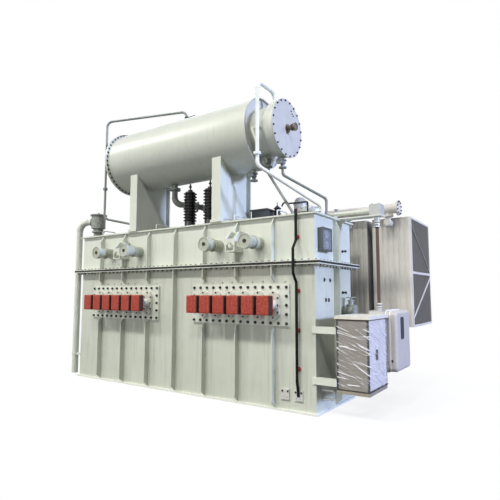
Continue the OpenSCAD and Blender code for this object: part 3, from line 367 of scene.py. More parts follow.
nitrile = moulded("nitrile_rubber", "#161616", "#33322e", 0.75)
paint_nodes(nitrile, "flange_gasket")
seal_low, seal_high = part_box("flange_gasket")
rim_low, rim_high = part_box("lower_flange")
lip, lip_deep = 0.013, 0.0015
gasket_lip = hoop((rim_low.x, rim_low.y, seal_low.z - lip), (rim_high.x, rim_high.y, seal_high.z + lip),
                  out=lip_deep, back=lip_deep, bevel=0.001)
dress("gasket_lip", gasket_lip, nitrile)

joint_low, joint_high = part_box("lower_flange")[0].z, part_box("upper_flange")[1].z
long_pitch, long_row = 0.1125, 0.742
short_pitch, short_row = 0.112, 2.772
joint_x = (np.arange(-25, 25) + 0.5) * long_pitch
joint_y = (np.arange(-6, 6) + 0.5) * short_pitch
joint_spots = round_edge(joint_x, joint_y, short_row, long_row)
stud_end = turned([(0, 0), (0.010, 0), (0.010, 0.016), (0.008, 0.018), (0, 0.018)], 10)
joint_nut = joined(bolt(across=0.030, head=0.017, radius=0.021, thick=0.004), lifted(stud_end, 0.021))
joint_bolt = bolt(across=0.030, head=0.013, radius=0.021, thick=0.004)
zinc = moulded("dull_zinc_plate", "#77756c", "#514f49", 0.45, grain_mm=12, metal=0.5)
dress("flange_nuts", placed(joint_nut, spots_at(*joint_spots.T, joint_low), (0, 0, -1)), zinc)
dress("flange_bolts", placed(joint_bolt, spots_at(*joint_spots.T, joint_high)), zinc)

# Low-voltage terminals: a painted steel plate bolted over each opening in the front wall, and on it cream cast-resin
# rings and posts that carry the terminals. Each has a red glass-fibre cap pushed on the post's end, with a dark strip
# at its edge that is a painted shade.
plate_enamel = enamel("plate_enamel", "#dfe3d8", "#d2d7c9", "#aeb2a4")
cast_resin = moulded("cream_cast_resin", "#d6d6ca", "#c4c4b6", 0.38, grain_mm=60)
red_cover = moulded("red_glass_fibre", "#94291a", "#c4573f", 0.45, grain_mm=34, bump=0.6)
paint_nodes(plate_enamel, "terminal_plates")
paint_nodes(cast_resin, "terminal_insulators")
to_front = (0, -1, 0)

plate_low, plate_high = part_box("terminal_plates")
bay, half_plate, inset = 1.35, 0.94, 0.042
plate_mid = (plate_low.z + plate_high.z) / 2
half_high = (plate_high.z - plate_low.z) / 2 - inset
across = np.linspace(-half_plate + inset, half_plate - inset, 14)
upright = np.linspace(-half_high, half_high, 5)[1:-1]
plate_x, plate_z = round_edge(across, upright, half_plate - inset, half_high).T
plate_spots = np.concatenate([spots_at(plate_x + side * bay, plate_low.y, plate_z + plate_mid) for side in (-1, 1)])
dark_zinc = moulded("weathered_zinc", "#3d3b35", "#2a2925", 0.5, grain_mm=10, metal=0.4)
plate_bolt = bolt(across=0.034, head=0.022, radius=0.024, thick=0.004)
dress("plate_bolts", placed(plate_bolt, plate_spots, to_front), dark_zinc)

ring_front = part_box("terminal_insulators")[0].y
terminal_pitch, terminals = 0.274, 6
terminal_x = (np.arange(terminals) - (terminals - 1) / 2) * terminal_pitch
terminal_x = np.concatenate([terminal_x - bay, terminal_x + bay])
side_x, side_z, end_z = 0.082, 0.105, 0.186
round_x = np.array([side_x, side_x, side_x, -side_x, -side_x, -side_x, 0, 0])
round_z = np.array([-side_z, 0, side_z, -side_z, 0, side_z, end_z, -end_z])
ring_spots = spots_at((terminal_x[:, None] + round_x).ravel(), ring_front,
                      np.tile(plate_mid + round_z, len(terminal_x)))
ring_bolt = bolt(across=0.020, head=0.012, radius=0.014, thick=0.003)
dress("ring_bolts", placed(ring_bolt, ring_spots, to_front), dark_zinc)

post_profile = [(0, 0), (0.078, 0), (0.078, 0.012), (0.052, 0.020), (0.052, 0.052), (0.070, 0.058), (0.070, 0.064),
                (0.052, 0.078), (0.052, 0.104), (0.070, 0.110), (0.070, 0.116), (0.052, 0.130), (0.052, 0.270),
                (0, 0.270)]
posts = placed(turned(post_profile, 24), spots_at(terminal_x, ring_front, plate_mid), to_front)
dress("terminal_posts", posts, cast_resin)


def cap(half_wide, half_high, deep, corner=0.016, steps=6):
    """An open box with rounded corners, its mouth on Z = 0: a rounded rectangle drawn in by an inset at each height,
    from the floor inside, out round the flanged mouth, up the walls and over the front to a raised panel."""
    inset, height = np.array([(1, deep - 0.015), (0.009, deep - 0.015), (0.009, 0), (-0.004, 0), (-0.004, 0.008),
                              (0, 0.011), (0, deep - 0.009), (0.002, deep - 0.005), (0.006, deep - 0.003),
                              (0.018, deep - 0.003), (0.020, deep), (1, deep)]).T
    n = np.arange(4 * steps)
    a = (n + 0.5) * 2 * np.pi / len(n)
    side = np.sign(np.stack([np.cos(a), np.sin(a)], -1))
    bend = (n % steps / (steps - 1) + n // steps) * np.pi / 2
    reach = np.maximum(np.array([half_wide, half_high]) - corner - np.maximum(inset, 0)[:, None], 0)
    curl = np.where(inset < 1, np.maximum(corner - np.minimum(inset, 0), 0.001), 0)
    plan = side * reach[:, None] + curl[:, None, None] * np.stack([np.cos(bend), np.sin(bend)], -1)
    return loft(np.concatenate([plan, np.repeat(height[:, None, None], len(n), 1)], -1))


cover_low, cover_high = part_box("terminal_covers")
half_cover, cap_deep, cap_play = cover_high.x - terminal_x.max(), 0.088, 0.004
edge_in, edge_out, edge_end, edge_front, edge_mouth = 0.024, 0.002, 0.008, 0.001, 0.012
one_cap = cap(half_cover - cap_play, (cover_high.z - cover_low.z) / 2 - cap_play, cap_deep)
caps = dress("terminal_caps", placed(one_cap, spots_at(terminal_x, cover_low.y + cap_deep, plate_mid), to_front),
             red_cover)
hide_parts("terminal_covers")
# A dark red strip at each cap's right edge is a painted shade for the cap's side and the gap beside it.
shade_strips = [slab((x + half_cover - edge_in, cover_low.y + edge_front, cover_low.z + edge_end),
              (x + half_cover - edge_out, cover_low.y + cap_deep - edge_mouth, cover_high.z - edge_end), bevel=0.001)
         for x in terminal_x]
red_shade_strip = moulded("painted_shade_red_strip", "#2a0c08", "#160605", 0.6)
dress("cover_shade_strips", joined(*shade_strips), red_shade_strip)

# Studs: short steel studs with nuts for cable clips, painted with the wall.
# They are welded to it in a row above each terminal plate.
clip_x, clip_up = np.linspace(-0.72, 0.86, 9), 0.045
clip_spots = spots_at(np.concatenate([clip_x - bay, clip_x + bay]), plate_high.y, plate_high.z + clip_up)
clip_stud = bolt(across=0.018, head=0.010, radius=0.016, thick=0.010)
dress("clip_studs", placed(clip_stud, clip_spots, to_front), tank_enamel)

# Bollards: four steel tubes with end discs on the upper wall, for ropes. They are painted darker than the wall, a
# painted shade, and a black ring round the centring hole of each disc is a painted shade that makes the dark hole look
# wider.
bollard_low, bollard_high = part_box("bollards")
# Painted shade: the bollards' enamel is darker than the wall's all over.
shaded_bollard_enamel = enamel("bollard_painted_shade_enamel", "#bfc3b2", "#a9ad9c", "#7e8173", run_mm=30, cloud_mm=240)
paint_nodes(shaded_bollard_enamel, "bollards")
disc_radius, disc_recess = 0.115, 0.008
bollard_x = bollard_high.x - bay - disc_radius
disc_x = np.array([side * bay + end * bollard_x for side in (-1, 1) for end in (-1, 1)])
disc_spots = spots_at(disc_x, bollard_low.y + disc_recess, (bollard_low.z + bollard_high.z) / 2)
# The black ring round each hole is a painted shade that widens the hole's dark.
hole_shade_ring = turned([(0.019, 0), (0.031, 0), (0.031, 0.006), (0.019, 0.006), (0.019, 0)], 24)
dress("bollard_hole_shades", placed(hole_shade_ring, disc_spots, to_front), nitrile)

# Conservator: a rolled steel drum for the oil as it expands, on two pedestals, with the tap changer's oil drum
# at its right end. Both are closed by covers with rings of bolts.
axis_y, axis_z = -0.28, 4.39
to_right, to_left = (1, 0, 0), (-1, 0, 0)


def on_circle(x, radius, count):
    """Spots evenly round the conservator's axis at one x: y = axis + r sin a, z = axis + r cos a."""
    a = (np.arange(count) + 0.5) * 2 * np.pi / count
    return spots_at(x, axis_y + radius * np.sin(a), axis_z + radius * np.cos(a))


end_low, end_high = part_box("conservator_left_end")
ring_in, ring_thick, end_count = 0.024, 0.020, 44
end_radius = (end_high.z - end_low.z) / 2 - ring_in
ring_face = end_high.x + (end_high.x - end_low.x) / 3
end_bolt = bolt(across=0.024, head=0.015, radius=0.017, thick=0.004)
end_bolts = [placed(end_bolt, on_circle(x, end_radius, end_count), way)
             for x, way in ((ring_face, to_right), (end_high.x - ring_thick, to_left))]
dress("conservator_bolts", joined(*end_bolts), dark_zinc)
drum_low, drum_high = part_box("tap_drum_cover")
drum_in, drum_count = 0.026, 20
drum_radius = (drum_high.z - drum_low.z) / 2 - drum_in
plug_offsets = ((0.12, 0.33), (0.15, 0.29), (0.19, 0.27))
plug_spots = [(drum_high.x, axis_y + y, axis_z + z) for y, z in plug_offsets]
drum_bolts = joined(placed(end_bolt, on_circle(drum_high.x, drum_radius, drum_count), to_right),
                    placed(hexagon(0.020, 0.012), plug_spots, to_right))
dress("drum_bolts", drum_bolts, dark_zinc)
# Painted shade: above the axis the conservator's enamel turns darker, holding down the strong light on its top.
shade_line, shade_share = 0.10, 0.62
conservator_enamel = darkened_above(enamel("conservator_enamel", "#d8dcd1", "#cfd4c7", "#aaaea1", rough=0.34, streak=0.3),
                            axis_z + shade_line, end_high.z, "#8f918a", shade_share)
paint_nodes(conservator_enamel, "conservator_shell", "conservator_left_end", "tap_drum")
drum_enamel = enamel("drum_enamel", "#cecdc6", "#c2c1b9", "#9d9c95", streak=0.3)
paint_nodes(drum_enamel, "tap_drum_cover", "conservator_right_end")
gauge_bronze = moulded("gauge_bronze", "#7a7060", "#5a5146", 0.45, metal=0.4)
paint_nodes(gauge_bronze, "level_gauge")

# Pipes: welded steel tube from the conservator to the cover, in paints lighter and darker than the tank's.
# Stop valves hang under the drums, and a gas relay sits in the slanting line.
pipe_enamel = enamel("pipe_enamel", "#8d928b", "#7b807a", "#60645e", run_mm=30, cloud_mm=300)
paint_nodes(pipe_enamel, "breather_pipe", "oil_pipes", "relay_pipe", "relay_outlet")
paint_nodes(lit_enamel, "relief_pipe")
paint_nodes(pale_enamel, "loop_pipe")
valve_iron = moulded("grey_cast_iron", "#a2a7a0", "#5f635c", 0.5, grain_mm=45, bump=0.15)
paint_nodes(valve_iron, "shutoff_valves", "relief_valve", "gas_relay")

# Bushings: dark glazed porcelain sheds bolted on the cover, with metal terminals on top.
# Beside them stand a cable box of dark painted steel and the cast head of the tap changer.
dark_glaze = moulded("dark_glazed_porcelain", "#17151a", "#2b2a2c", 0.18, grain_mm=80, bump=0.02)
paint_nodes(dark_glaze, "high_voltage_bushings", "neutral_bushing")
box_enamel = enamel("dark_grey_enamel", "#4c5356", "#43494c", "#5c6163", run_mm=30, cloud_mm=200)
paint_nodes(box_enamel, "cover_box", "thermometer_box")
cast_aluminium = moulded("cast_aluminium", "#b9bcba", "#999c9a", 0.45, grain_mm=15, bump=0.15, metal=0.3)
paint_nodes(cast_aluminium, "tap_changer_head", "bevel_gear")

# Thermometers: two white enamelled dials with black hands, in the dark box on the end wall.
# They sit on the floor of its window, behind a grey-blue, partly clear glass pane that is set in the frame.
box_face, dial_r, dial_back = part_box("thermometer_box")[1].x, 0.062, 0.0135
dial_spots = [(box_face - dial_back, -0.395, z) for z in (2.418, 2.572)]
dial_white = moulded("dial_enamel", "#d9dbd8", "#c3c5c2", 0.4)
dial = turned([(0, 0), (dial_r, 0), (dial_r, 0.004), (dial_r * 0.92, 0.006), (dial_r * 0.90, 0.003), (0, 0.003)], 40)
dress("dials", placed(dial, dial_spots, to_right), dial_white)
hand = slab((-0.004, -0.012, 0.0032), (0.004, 0.046, 0.0048), bevel=0.0005)
dress("dial_hands", placed(hand, dial_spots, to_right), nitrile)
pane_glass = moulded("grey_blue_pane_glass", "#9aa3ae", "#b9bec4", 0.12, grain_mm=60, bump=0.02)
pane_glass.node_tree.nodes["Principled BSDF"].inputs["Alpha"].default_value = 0.42
pane = slab((box_face - 0.006, -0.534, 2.351), (box_face - 0.003, -0.256, 2.639), bevel=0.0005)
dress("window_pane", pane, pane_glass)

# Earthing: a black painted steel strap that red post insulators hold off the wall, down to two bare steel pads.
# The pads are welded to the wall, with two bolts each above the free holes.
strap_black = moulded("black_strap_enamel", "#070707", "#141413", 0.5)
strap_black.node_tree.nodes["Principled BSDF"].inputs["Specular IOR Level"].default_value = 0.15
clamp_red = moulded("red_post_insulator", "#a02420", "#7c1c19", 0.35)
pad_steel = moulded("bright_zinc_steel", "#dcdcd6", "#b9b9b3", 0.35, metal=0.3)
paint_nodes(strap_black, "earth_strap")
paint_nodes(clamp_red, "strap_clamps")
paint_nodes(pad_steel, "earth_pads")
pads_low, pads_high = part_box("earth_pads")
half_pad, bolt_out, bolt_down = 0.065, 0.045, 0.030
pad_spots = [(x + side * bolt_out, pads_low.y, pads_high.z - bolt_down)
             for x in (pads_low.x + half_pad, pads_high.x - half_pad) for side in (-1, 1)]
pad_bolt = bolt(across=0.022, head=0.012, radius=0.015, thick=0.003)
dress("pad_bolts", placed(pad_bolt, pad_spots, to_front), dark_zinc)


# Fittings on the cover: bent bars welded on as lifting loops along its front edge, a black cable conduit to the tap
# changer's head, clamps round that head, a small oil filter housing beside it and a vent valve at the right end.
def eased(points, radius, steps=6):
    """A path with its corners rounded: each corner gives way to a curve from a point before it to one after it,
    p0 (1-t)^2 + 2 p t (1-t) + p2 t^2."""
    points = np.array(points, float)
    t = np.linspace(0, 1, steps)[:, None]
    path = [points[:1]]
    for before, at, after in zip(points, points[1:], points[2:]):
        start = at + (before - at) / np.linalg.norm(before - at) * radius
        end = at + (after - at) / np.linalg.norm(after - at) * radius
        path.append((1 - t) ** 2 * start + 2 * t * (1 - t) * at + t ** 2 * end)
    return np.concatenate(path + [points[-1:]])


def tube(path, radius, sides=12):
    """A round bar along a path: at each point a circle across the mean of the two directions that meet there, and
    a point at either end to close it."""
    path = np.asarray(path, float)
    way = np.gradient(path, axis=0)
    u = np.cross(way, (0.31, 0.47, 0.83))
    u /= np.linalg.norm(u, axis=1, keepdims=True)
    v = np.cross(way, u)
    v /= np.linalg.norm(v, axis=1, keepdims=True)
    a = (np.arange(sides) * 2 * np.pi / sides)[:, None]
    rings = path[:, None] + radius * (np.cos(a) * u[:, None] + np.sin(a) * v[:, None])
    tips = np.repeat(path[[0, -1], None], sides, 1)
    return loft(np.concatenate([tips[:1], rings, tips[1:]]))


bend_radius, loop_bar, conduit_bar = 0.03, 0.011, 0.014
loop_front, loop_back, loop_top = -0.62, -0.32, cover_z + 0.105
loop_yz = ((loop_front, cover_z), (loop_front, loop_top), (loop_back, loop_top), (loop_back, cover_z))
loops = [tube(eased([(x, y, z) for y, z in loop_yz], bend_radius), loop_bar) for x in (-2.15, -0.59, 1.23, 2.05)]
dress("lifting_loops", joined(*loops), lit_enamel, crease=60)

conduit_y = -0.20
conduit_xz = ((1.885, 3.125), (1.925, 3.19), (1.99, 3.16), (2.36, 3.15), (2.36, cover_z))
conduit = tube(eased([(x, conduit_y, z) for x, z in conduit_xz], bend_radius), conduit_bar)
dress("cover_conduit", conduit, nitrile, crease=60)

head_low, head_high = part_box("tap_changer_head")
head_mid = ((head_low.x + head_high.x) / 2, (head_low.y + head_high.y) / 2)
clamp_high, clamp_nut, clamp_in, clamp_up, clamp_count = 0.150, 0.024, 0.026, 0.038, 14
clamp_stud = turned([(0, 0), (0.008, 0), (0.008, 0.020), (0, 0.022)], 10)
clamp = joined(slab((-0.020, -0.012, 0.0), (0.020, 0.012, clamp_high), bevel=0.004),
               lifted(hexagon(0.026, clamp_nut), clamp_high), lifted(clamp_stud, clamp_high + clamp_nut))
clamp_circle = turned([((head_high.x - head_low.x) / 2 - clamp_in, 0)], clamp_count)[0]
dress("head_clamps", placed(clamp, clamp_circle + (*head_mid, head_low.z + clamp_up)), valve_iron)

filter_at = (1.83, 0.56, cover_z)
filter_profile = [(0, 0), (0.150, 0), (0.150, 0.022), (0.118, 0.024), (0.118, 0.400), (0.128, 0.404), (0.128, 0.426),
                  (0.112, 0.430), (0.100, 0.490), (0.070, 0.525), (0.030, 0.540), (0, 0.543)]
dress("filter_housing", placed(turned(filter_profile, 40), [filter_at]), cast_aluminium, crease=40)

vent_at, vent_knob_z = (2.60, 0.36, cover_z), 0.160
vent_profile = [(0, 0), (0.060, 0), (0.060, 0.016), (0.034, 0.018), (0.034, 0.070), (0.055, 0.074), (0.055, 0.090),
                (0.036, 0.094), (0.040, 0.130), (0.030, 0.160), (0, 0.164)]
vent_knob = turned([(0, 0), (0.012, 0), (0.012, 0.03), (0.034, 0.034), (0.034, 0.046), (0, 0.048)], 20)
vent = joined(turned(vent_profile, 28), lifted(vent_knob, vent_knob_z))
dress("vent_valve", placed(vent, [vent_at]), valve_iron, crease=40)

# Fittings on the conservator: the cast lever valve at the foot of the breather pipe, bolted on the drum's top.
# Four iron lifting eyes are welded along the top on either side of it.
breather_x, valve_z, lever_z, eye_up = -0.165, 4.975, (5.070, 5.084), 0.625
lever_profile = [(0, 0), (0.055, 0), (0.055, 0.014), (0.030, 0.018), (0.042, 0.040), (0.042, 0.070), (0.030, 0.092),
                 (0.050, 0.096), (0.050, 0.110), (0, 0.110)]
lever_valve = placed(turned(lever_profile, 24), [(breather_x, axis_y, valve_z)])
lever = slab((breather_x + 0.03, axis_y - 0.012, lever_z[0]),
             (breather_x + 0.20, axis_y + 0.012, lever_z[1]), bevel=0.003)
dark_iron = moulded("dark_cast_iron", "#3a3c39", "#20211f", 0.55, grain_mm=30, bump=0.1)
dress("breather_valve", joined(lever_valve, lever), dark_iron, crease=40)
lifting_eye = turned([(0.018, -0.010), (0.040, -0.010), (0.040, 0.010), (0.018, 0.010), (0.018, -0.010)], 24)
eye_spots = spots_at(np.array([-1.55, -0.75, 0.55, 1.35]), axis_y, axis_z + eye_up)
dress("lifting_eyes", placed(lifting_eye, eye_spots, (0, 1, 0)), dark_iron, crease=40)

# Fittings on the right end wall: steel cable clips screwed on in two rows, two plugged sampling cocks, and behind the
# cabinet a flanged iron drain valve with a hand wheel.
wall_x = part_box("lower_tank")[1].x
clip_thick = 0.018
clip_bar = joined(slab((-0.030, -0.008, 0), (0.030, 0.008, clip_thick), bevel=0.003),
                  lifted(hexagon(0.018, 0.010), clip_thick))
clip_places = ((-0.373, 1.901), (-0.167, 1.897), (-0.328, 1.602), (-0.225, 1.601))
dress("cable_clips", placed(clip_bar, [(wall_x, y, z) for y, z in clip_places], to_right), dark_zinc)
cock_profile = [(0, 0), (0.022, 0), (0.022, 0.014), (0.013, 0.016), (0.013, 0.050), (0.020, 0.052), (0.020, 0.072),
                (0, 0.074)]
cocks = placed(turned(cock_profile, 20), [(wall_x, 0.335, 2.379), (wall_x, 0.320, 1.713)], to_right)
dress("sampling_cocks", cocks, nitrile, crease=40)

drain_y, drain_z = 0.36, 1.43
drain_profile = [(0, 0), (0.050, 0), (0.050, 0.050), (0.095, 0.052), (0.095, 0.072), (0.055, 0.074), (0.075, 0.100),
                 (0.075, 0.150), (0.055, 0.176), (0.095, 0.178), (0.095, 0.198), (0.040, 0.202), (0, 0.204)]
stem_profile = [(0, 0), (0.045, 0), (0.040, 0.085), (0.056, 0.088), (0.056, 0.104), (0.018, 0.108), (0.012, 0.150),
                (0, 0.152)]
wheel_radius, wheel_z, wheel_bar = 0.070, 0.146, 0.008
wheel_a = np.linspace(0, 2 * np.pi, 9)
wheel = turned(np.column_stack([wheel_radius + wheel_bar * np.cos(wheel_a),
                                wheel_z + wheel_bar * np.sin(wheel_a)]), 40)
spokes = [slab((-x, -y, 0.142), (x, y, 0.150), bevel=0.002) for x, y in ((wheel_radius, 0.006), (0.006, wheel_radius))]
valve_mid = (wall_x + 0.125, drain_y, drain_z + 0.060)
drain = joined(placed(turned(drain_profile, 32), [(wall_x, drain_y, drain_z)], to_right),
               placed(joined(turned(stem_profile, 24), wheel, *spokes), [valve_mid]))
dress("drain_valve", drain, valve_iron, crease=40)

# Control cabinet: a sheet-steel box with a cream lid, black corner strips and a black handle, bolted on two arms.
# It is still wrapped for transport in a clear film that is stretched round its sides.
small_sheet = {"run_mm": 40, "cloud_mm": 300}
for node, name, *paints in (("cabinet_body", "cabinet_enamel", "#878176", "#7b756b", "#6b655c"),
                            ("cabinet_door", "cabinet_door_enamel", "#ddd9d4", "#d1cdc9", "#b9b6b2"),
                            ("cabinet_roof", "cabinet_lid_enamel", "#e8e6dc", "#dad8cd", "#b5b2a6"),
                            ("cabinet_base", "cabinet_base_enamel", "#a39d8f", "#8d877a", "#6a655b")):
    paint_nodes(enamel(name, *paints, **small_sheet), node)

body_low, body_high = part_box("cabinet_body")
cabinet_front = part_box("cabinet_base")[1].x
strip, proud = 0.024, 0.003
corner_strips = [slab((x - proud, y - proud, body_low.z), (x + strip, y + strip, body_high.z), bevel=0.002)
                 for y in (body_low.y, body_high.y - strip) for x in (body_low.x, cabinet_front - strip)]
black_trim = moulded("black_trim_rubber", "#0d0d0d", "#222221", 0.55, grain_mm=20)
brown_foam = moulded("brown_foam_seal", "#5d4a3c", "#2c2420", 0.8, grain_mm=40)
dress("corner_strips", joined(*corner_strips), black_trim)
grip_x, grip_y, grip_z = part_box("cabinet_door")[1].x, -0.3706, 0.86648
grip_back = grip_x - 0.023
grip = [slab((grip_back, grip_y - wide, grip_z - tall), (grip_x + front, grip_y + wide, grip_z + tall), ease)
        for wide, tall, front, ease in ((0.016, 0.070, 0.003, 0.006), (0.026, 0.020, -0.012, 0.003))]
dress("cabinet_handle", joined(*grip), black_trim)

seal_out = 0.009
# The black band at the foot of the body is a painted shade; the strip under the lid is brown foam.
for name, low_z, high_z, stuff in (("base_shade_band", body_low.z - 0.008, body_low.z + 0.003, black_trim),
                                   ("lid_seal", body_high.z - 0.016, body_high.z, brown_foam)):
    seal = hoop((body_low.x, body_low.y, low_z), (cabinet_front, body_high.y, high_z),
                out=seal_out, back=0.0, bevel=0.002)
    dress(name, seal, stuff)
half_arm, half_tall, pad_out, pad_in = 0.036, 0.050, 0.018, 0.002
arm_pads = [slab((body_low.x - pad_out, y - half_arm, z - half_tall),
                 (body_low.x + pad_in, y + half_arm, z + half_tall))
            for z in (0.481, 1.186) for y in (-0.635, 0.055)]
dress("arm_pads", joined(*arm_pads), nitrile)


def film_round(low, high, gap, columns, rows):
    """A sheet round four upright sides: it goes round the plan of the box with a rounded corner, stands off by the
    gap, by a bulge over the handle and by ridges, each ridge a bell curve across a slanting line that fades at its
    ends. The ridges' places come from one seeded list."""
    ridges, most = 150, 0.012
    bulge, bulge_wide, bulge_tall = 0.026, 0.09, 0.16
    round_r = 0.020 + gap
    wide, deep = high[0] - low[0] + 2 * gap - 2 * round_r, high[1] - low[1] + 2 * gap - 2 * round_r
    arc = round_r * np.pi / 2
    lengths = np.array([wide, arc, deep, arc, wide, arc, deep, arc])
    ends = np.concatenate([[0], np.cumsum(lengths)])
    s = np.linspace(0, ends[-1], columns, endpoint=False)
    part = np.clip(np.searchsorted(ends, s, side="right") - 1, 0, len(lengths) - 1)
    share = (s - ends[part]) / lengths[part]
    side = part // 2
    turn = side * np.pi / 2 + np.where(part % 2, share, 0) * np.pi / 2
    corner = np.array([(1, -1), (1, 1), (-1, 1), (-1, -1)])[side] * np.array([wide, deep]) / 2
    along = np.stack([np.cos(side * np.pi / 2), np.sin(side * np.pi / 2)], 1)
    back = np.where(part % 2, 0, (1 - share) * lengths[part])
    out = np.stack([np.sin(turn), -np.cos(turn)], 1)
    mid = (np.array(low[:2]) + np.array(high[:2])) / 2
    plan = mid + corner - along * back[:, None] + out * round_r
    v = np.linspace(0, high[2] - low[2], rows)
    chance = np.random.default_rng(7)
    s0, v0 = chance.uniform(0, ends[-1], ridges), chance.uniform(0.05, 0.95, ridges) * v[-1]
    slope, reach = chance.normal(-0.42, 0.22, ridges), chance.uniform(0.06, 0.24, ridges)
    height, breadth = chance.uniform(0.002, 0.007, ridges), chance.uniform(0.005, 0.012, ridges)
    ds = (s[:, None, None] - s0 + ends[-1] / 2) % ends[-1] - ends[-1] / 2
    dv = v[None, :, None] - v0 - slope * ds
    ridge = (height * np.exp(-(dv / breadth) ** 2) * np.exp(-(ds / reach) ** 4)).sum(-1)
    ridge = np.minimum(ridge, most)
    beside = np.where(plan[:, 0] > high[0] - 0.01, np.exp(-((plan[:, 1] - grip_y) / bulge_wide) ** 4), 0)
    stand = ridge + bulge * beside[:, None] * np.exp(-((v + low[2] - grip_z) / bulge_tall) ** 4)
    points = np.empty((rows, columns, 3))
    points[..., :2] = plan + out * stand.T[..., None]
    points[..., 2] = low[2] + v[:, None]
    return points, ends[-1], ridge.T / most


film_up, film_down, film_gap = 0.006, 0.018, 0.006
film_low = (body_low.x, body_low.y, body_low.z + film_up)
film_high = (cabinet_front, body_high.y, body_high.z - film_down)
film_points, film_girth, film_ridge = film_round(film_low, film_high, film_gap, 420, 150)
clear_film, tree, shader = blank("clear_stretch_film")
shader.inputs["Base Color"].default_value = linear("#f4f4f8")
shader.inputs["Roughness"].default_value = 0.16
# The film is painted white and less clear along its ridges and in fine slanting streaks: painted highlights of its
# sheen.
sheen_slant, sheen_per_m = math.radians(22), (5.0, 70.0, 1.0)
sheen_span, fold_sheen_span = (0.52, 0.68), (0.16, 0.36)
place = axes_in(tree)
girth = add(tree, "ShaderNodeMath", {0: place["X"], 1: place["Y"]}).outputs[0]
unrolled = add(tree, "ShaderNodeCombineXYZ", {"X": girth, "Y": place["Z"]}).outputs[0]
slanted = add(tree, "ShaderNodeMapping", {"Vector": unrolled, "Rotation": (0, 0, sheen_slant)}).outputs[0]
drawn = add(tree, "ShaderNodeVectorMath", {0: slanted, 1: sheen_per_m}, operation="MULTIPLY").outputs[0]
fine = add(tree, "ShaderNodeTexNoise", {"Vector": drawn, "Scale": 1.0, "Detail": 3.0, "Distortion": 0.6})
sheen_streaks = ranged(tree, fine.outputs["Fac"], *sheen_span, least=0.10, most=0.42)
ridge = add(tree, "ShaderNodeAttribute", attribute_name="ridge").outputs["Fac"]
fold_sheen = ranged(tree, ridge, *fold_sheen_span, most=0.85)
painted_sheen = add(tree, "ShaderNodeMath", {0: sheen_streaks, 1: fold_sheen}, operation="MAXIMUM").outputs[0]
tree.links.new(painted_sheen, shader.inputs["Alpha"])
film = dress("transport_film", loft(film_points), clear_film, crease=60)
film.data.attributes.new("ridge", "FLOAT", "POINT").data.foreach_set("value", film_ridge.ravel())

# Motor drive: a sheet-steel housing with a deep rounded door on a pale rim, and a bare dark plate riveted to the door.
# From its lid a brown square shaft with bright couplings turns the bevel gear on its arm.
drive_enamel = enamel("drive_enamel", "#c5c0b9", "#bbb6b0", "#a19d98", streak=0.25, **small_sheet)
rim_white = enamel("rim_enamel", "#efeeea", "#e3e2dc", "#c2c0b8", streak=0.25, **small_sheet)
housing_grey = enamel("housing_enamel", "#c4c4c0", "#b7b7b2", "#97968f", streak=0.3, **small_sheet)
paint_nodes(drive_enamel, "drive_door")
paint_nodes(rim_white, "drive_rim")
paint_nodes(housing_grey, "drive_housing")
shaft_brown = moulded("brown_primer_steel", "#5c4a40", "#463830", 0.6, grain_mm=25)
paint_nodes(shaft_brown, "drive_shaft")

door_x, plate_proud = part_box("drive_door")[1].x, 0.003
plate_y, plate_tall, rivet_in = (0.34, 0.51), (1.02, 1.35), 0.012
plate_blue = moulded("dark_blue_plate", "#10132a", "#1f2440", 0.5, grain_mm=40)
drive_plate = slab((door_x - 0.002, plate_y[0], plate_tall[0]),
                   (door_x + plate_proud, plate_y[1], plate_tall[1]), bevel=0.001)
dress("drive_plate", drive_plate, plate_blue, body="drive_door")
rivet = turned([(0, 0), (0.006, 0), (0.0055, 0.002), (0.003, 0.0035), (0, 0.004)], 12)
rivet_spots = [(door_x + 0.002, y, z) for y in (plate_y[0] + rivet_in, plate_y[1] - rivet_in)
               for z in (plate_tall[0] + rivet_in, plate_tall[1] - rivet_in)]
dress("plate_rivets", placed(rivet, rivet_spots, to_right), pad_steel, body="drive_door")
latch_at, key_up = (3.523, 0.1495, 0.724), 0.007
latch = joined(turned([(0, 0), (0.016, 0), (0.016, 0.005), (0.011, 0.008), (0, 0.008)], 20),
               lifted(slab((-0.005, -0.026, 0), (0.005, 0.010, 0.008), bevel=0.003), key_up))
dress("drive_latch", placed(latch, [latch_at], to_front), black_trim, body="drive_door")


def corners(low, high, radius, steps=9):
    """The outline of a rectangle with round corners as (y, z) pairs: four quarter circles, one after the other."""
    a = np.linspace(0, np.pi / 2, steps) + np.arange(4)[:, None] * np.pi / 2
    low, high = np.array(low) + radius, np.array(high) - radius
    hub = np.array([(high[0], high[1]), (low[0], high[1]), (low[0], low[1]), (high[0], low[1])])
    return (hub[:, None] + radius * np.stack([np.cos(a), np.sin(a)], -1)).reshape(-1, 2)


door_low, door_high, door_round = np.array([0.15, 0.56]), np.array([0.85, 1.44]), 0.07
trim_profile = ((3.488, -0.001), (3.490, 0.004), (3.506, 0.004), (3.508, -0.001), (3.488, -0.001))
trim_rings = [spots_at(x, *corners(door_low - out, door_high + out, door_round + out).T) for x, out in trim_profile]
dress("door_trim", loft(trim_rings), rim_white, body="drive_door")
shaft_x, shaft_y, screw_out = 3.31, 0.27, 0.055
band = turned([(0.0395, 0), (0.043, 0.003), (0.043, 0.019), (0.0395, 0.022)], 28)
bands = placed(band, [(shaft_x, shaft_y, z) for z in (1.494, 1.533, 2.718, 2.757)])
dress("coupling_bands", bands, pad_steel, body="drive_shaft")
gear_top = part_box("bevel_gear")[1].z
gear_spots = [(shaft_x + x, shaft_y + y, gear_top) for x in (-screw_out, screw_out) for y in (-screw_out, screw_out)]
gear_screw = bolt(across=0.014, head=0.008, radius=0.010, thick=0.002)
dress("gear_screws", placed(gear_screw, gear_spots), dark_zinc)

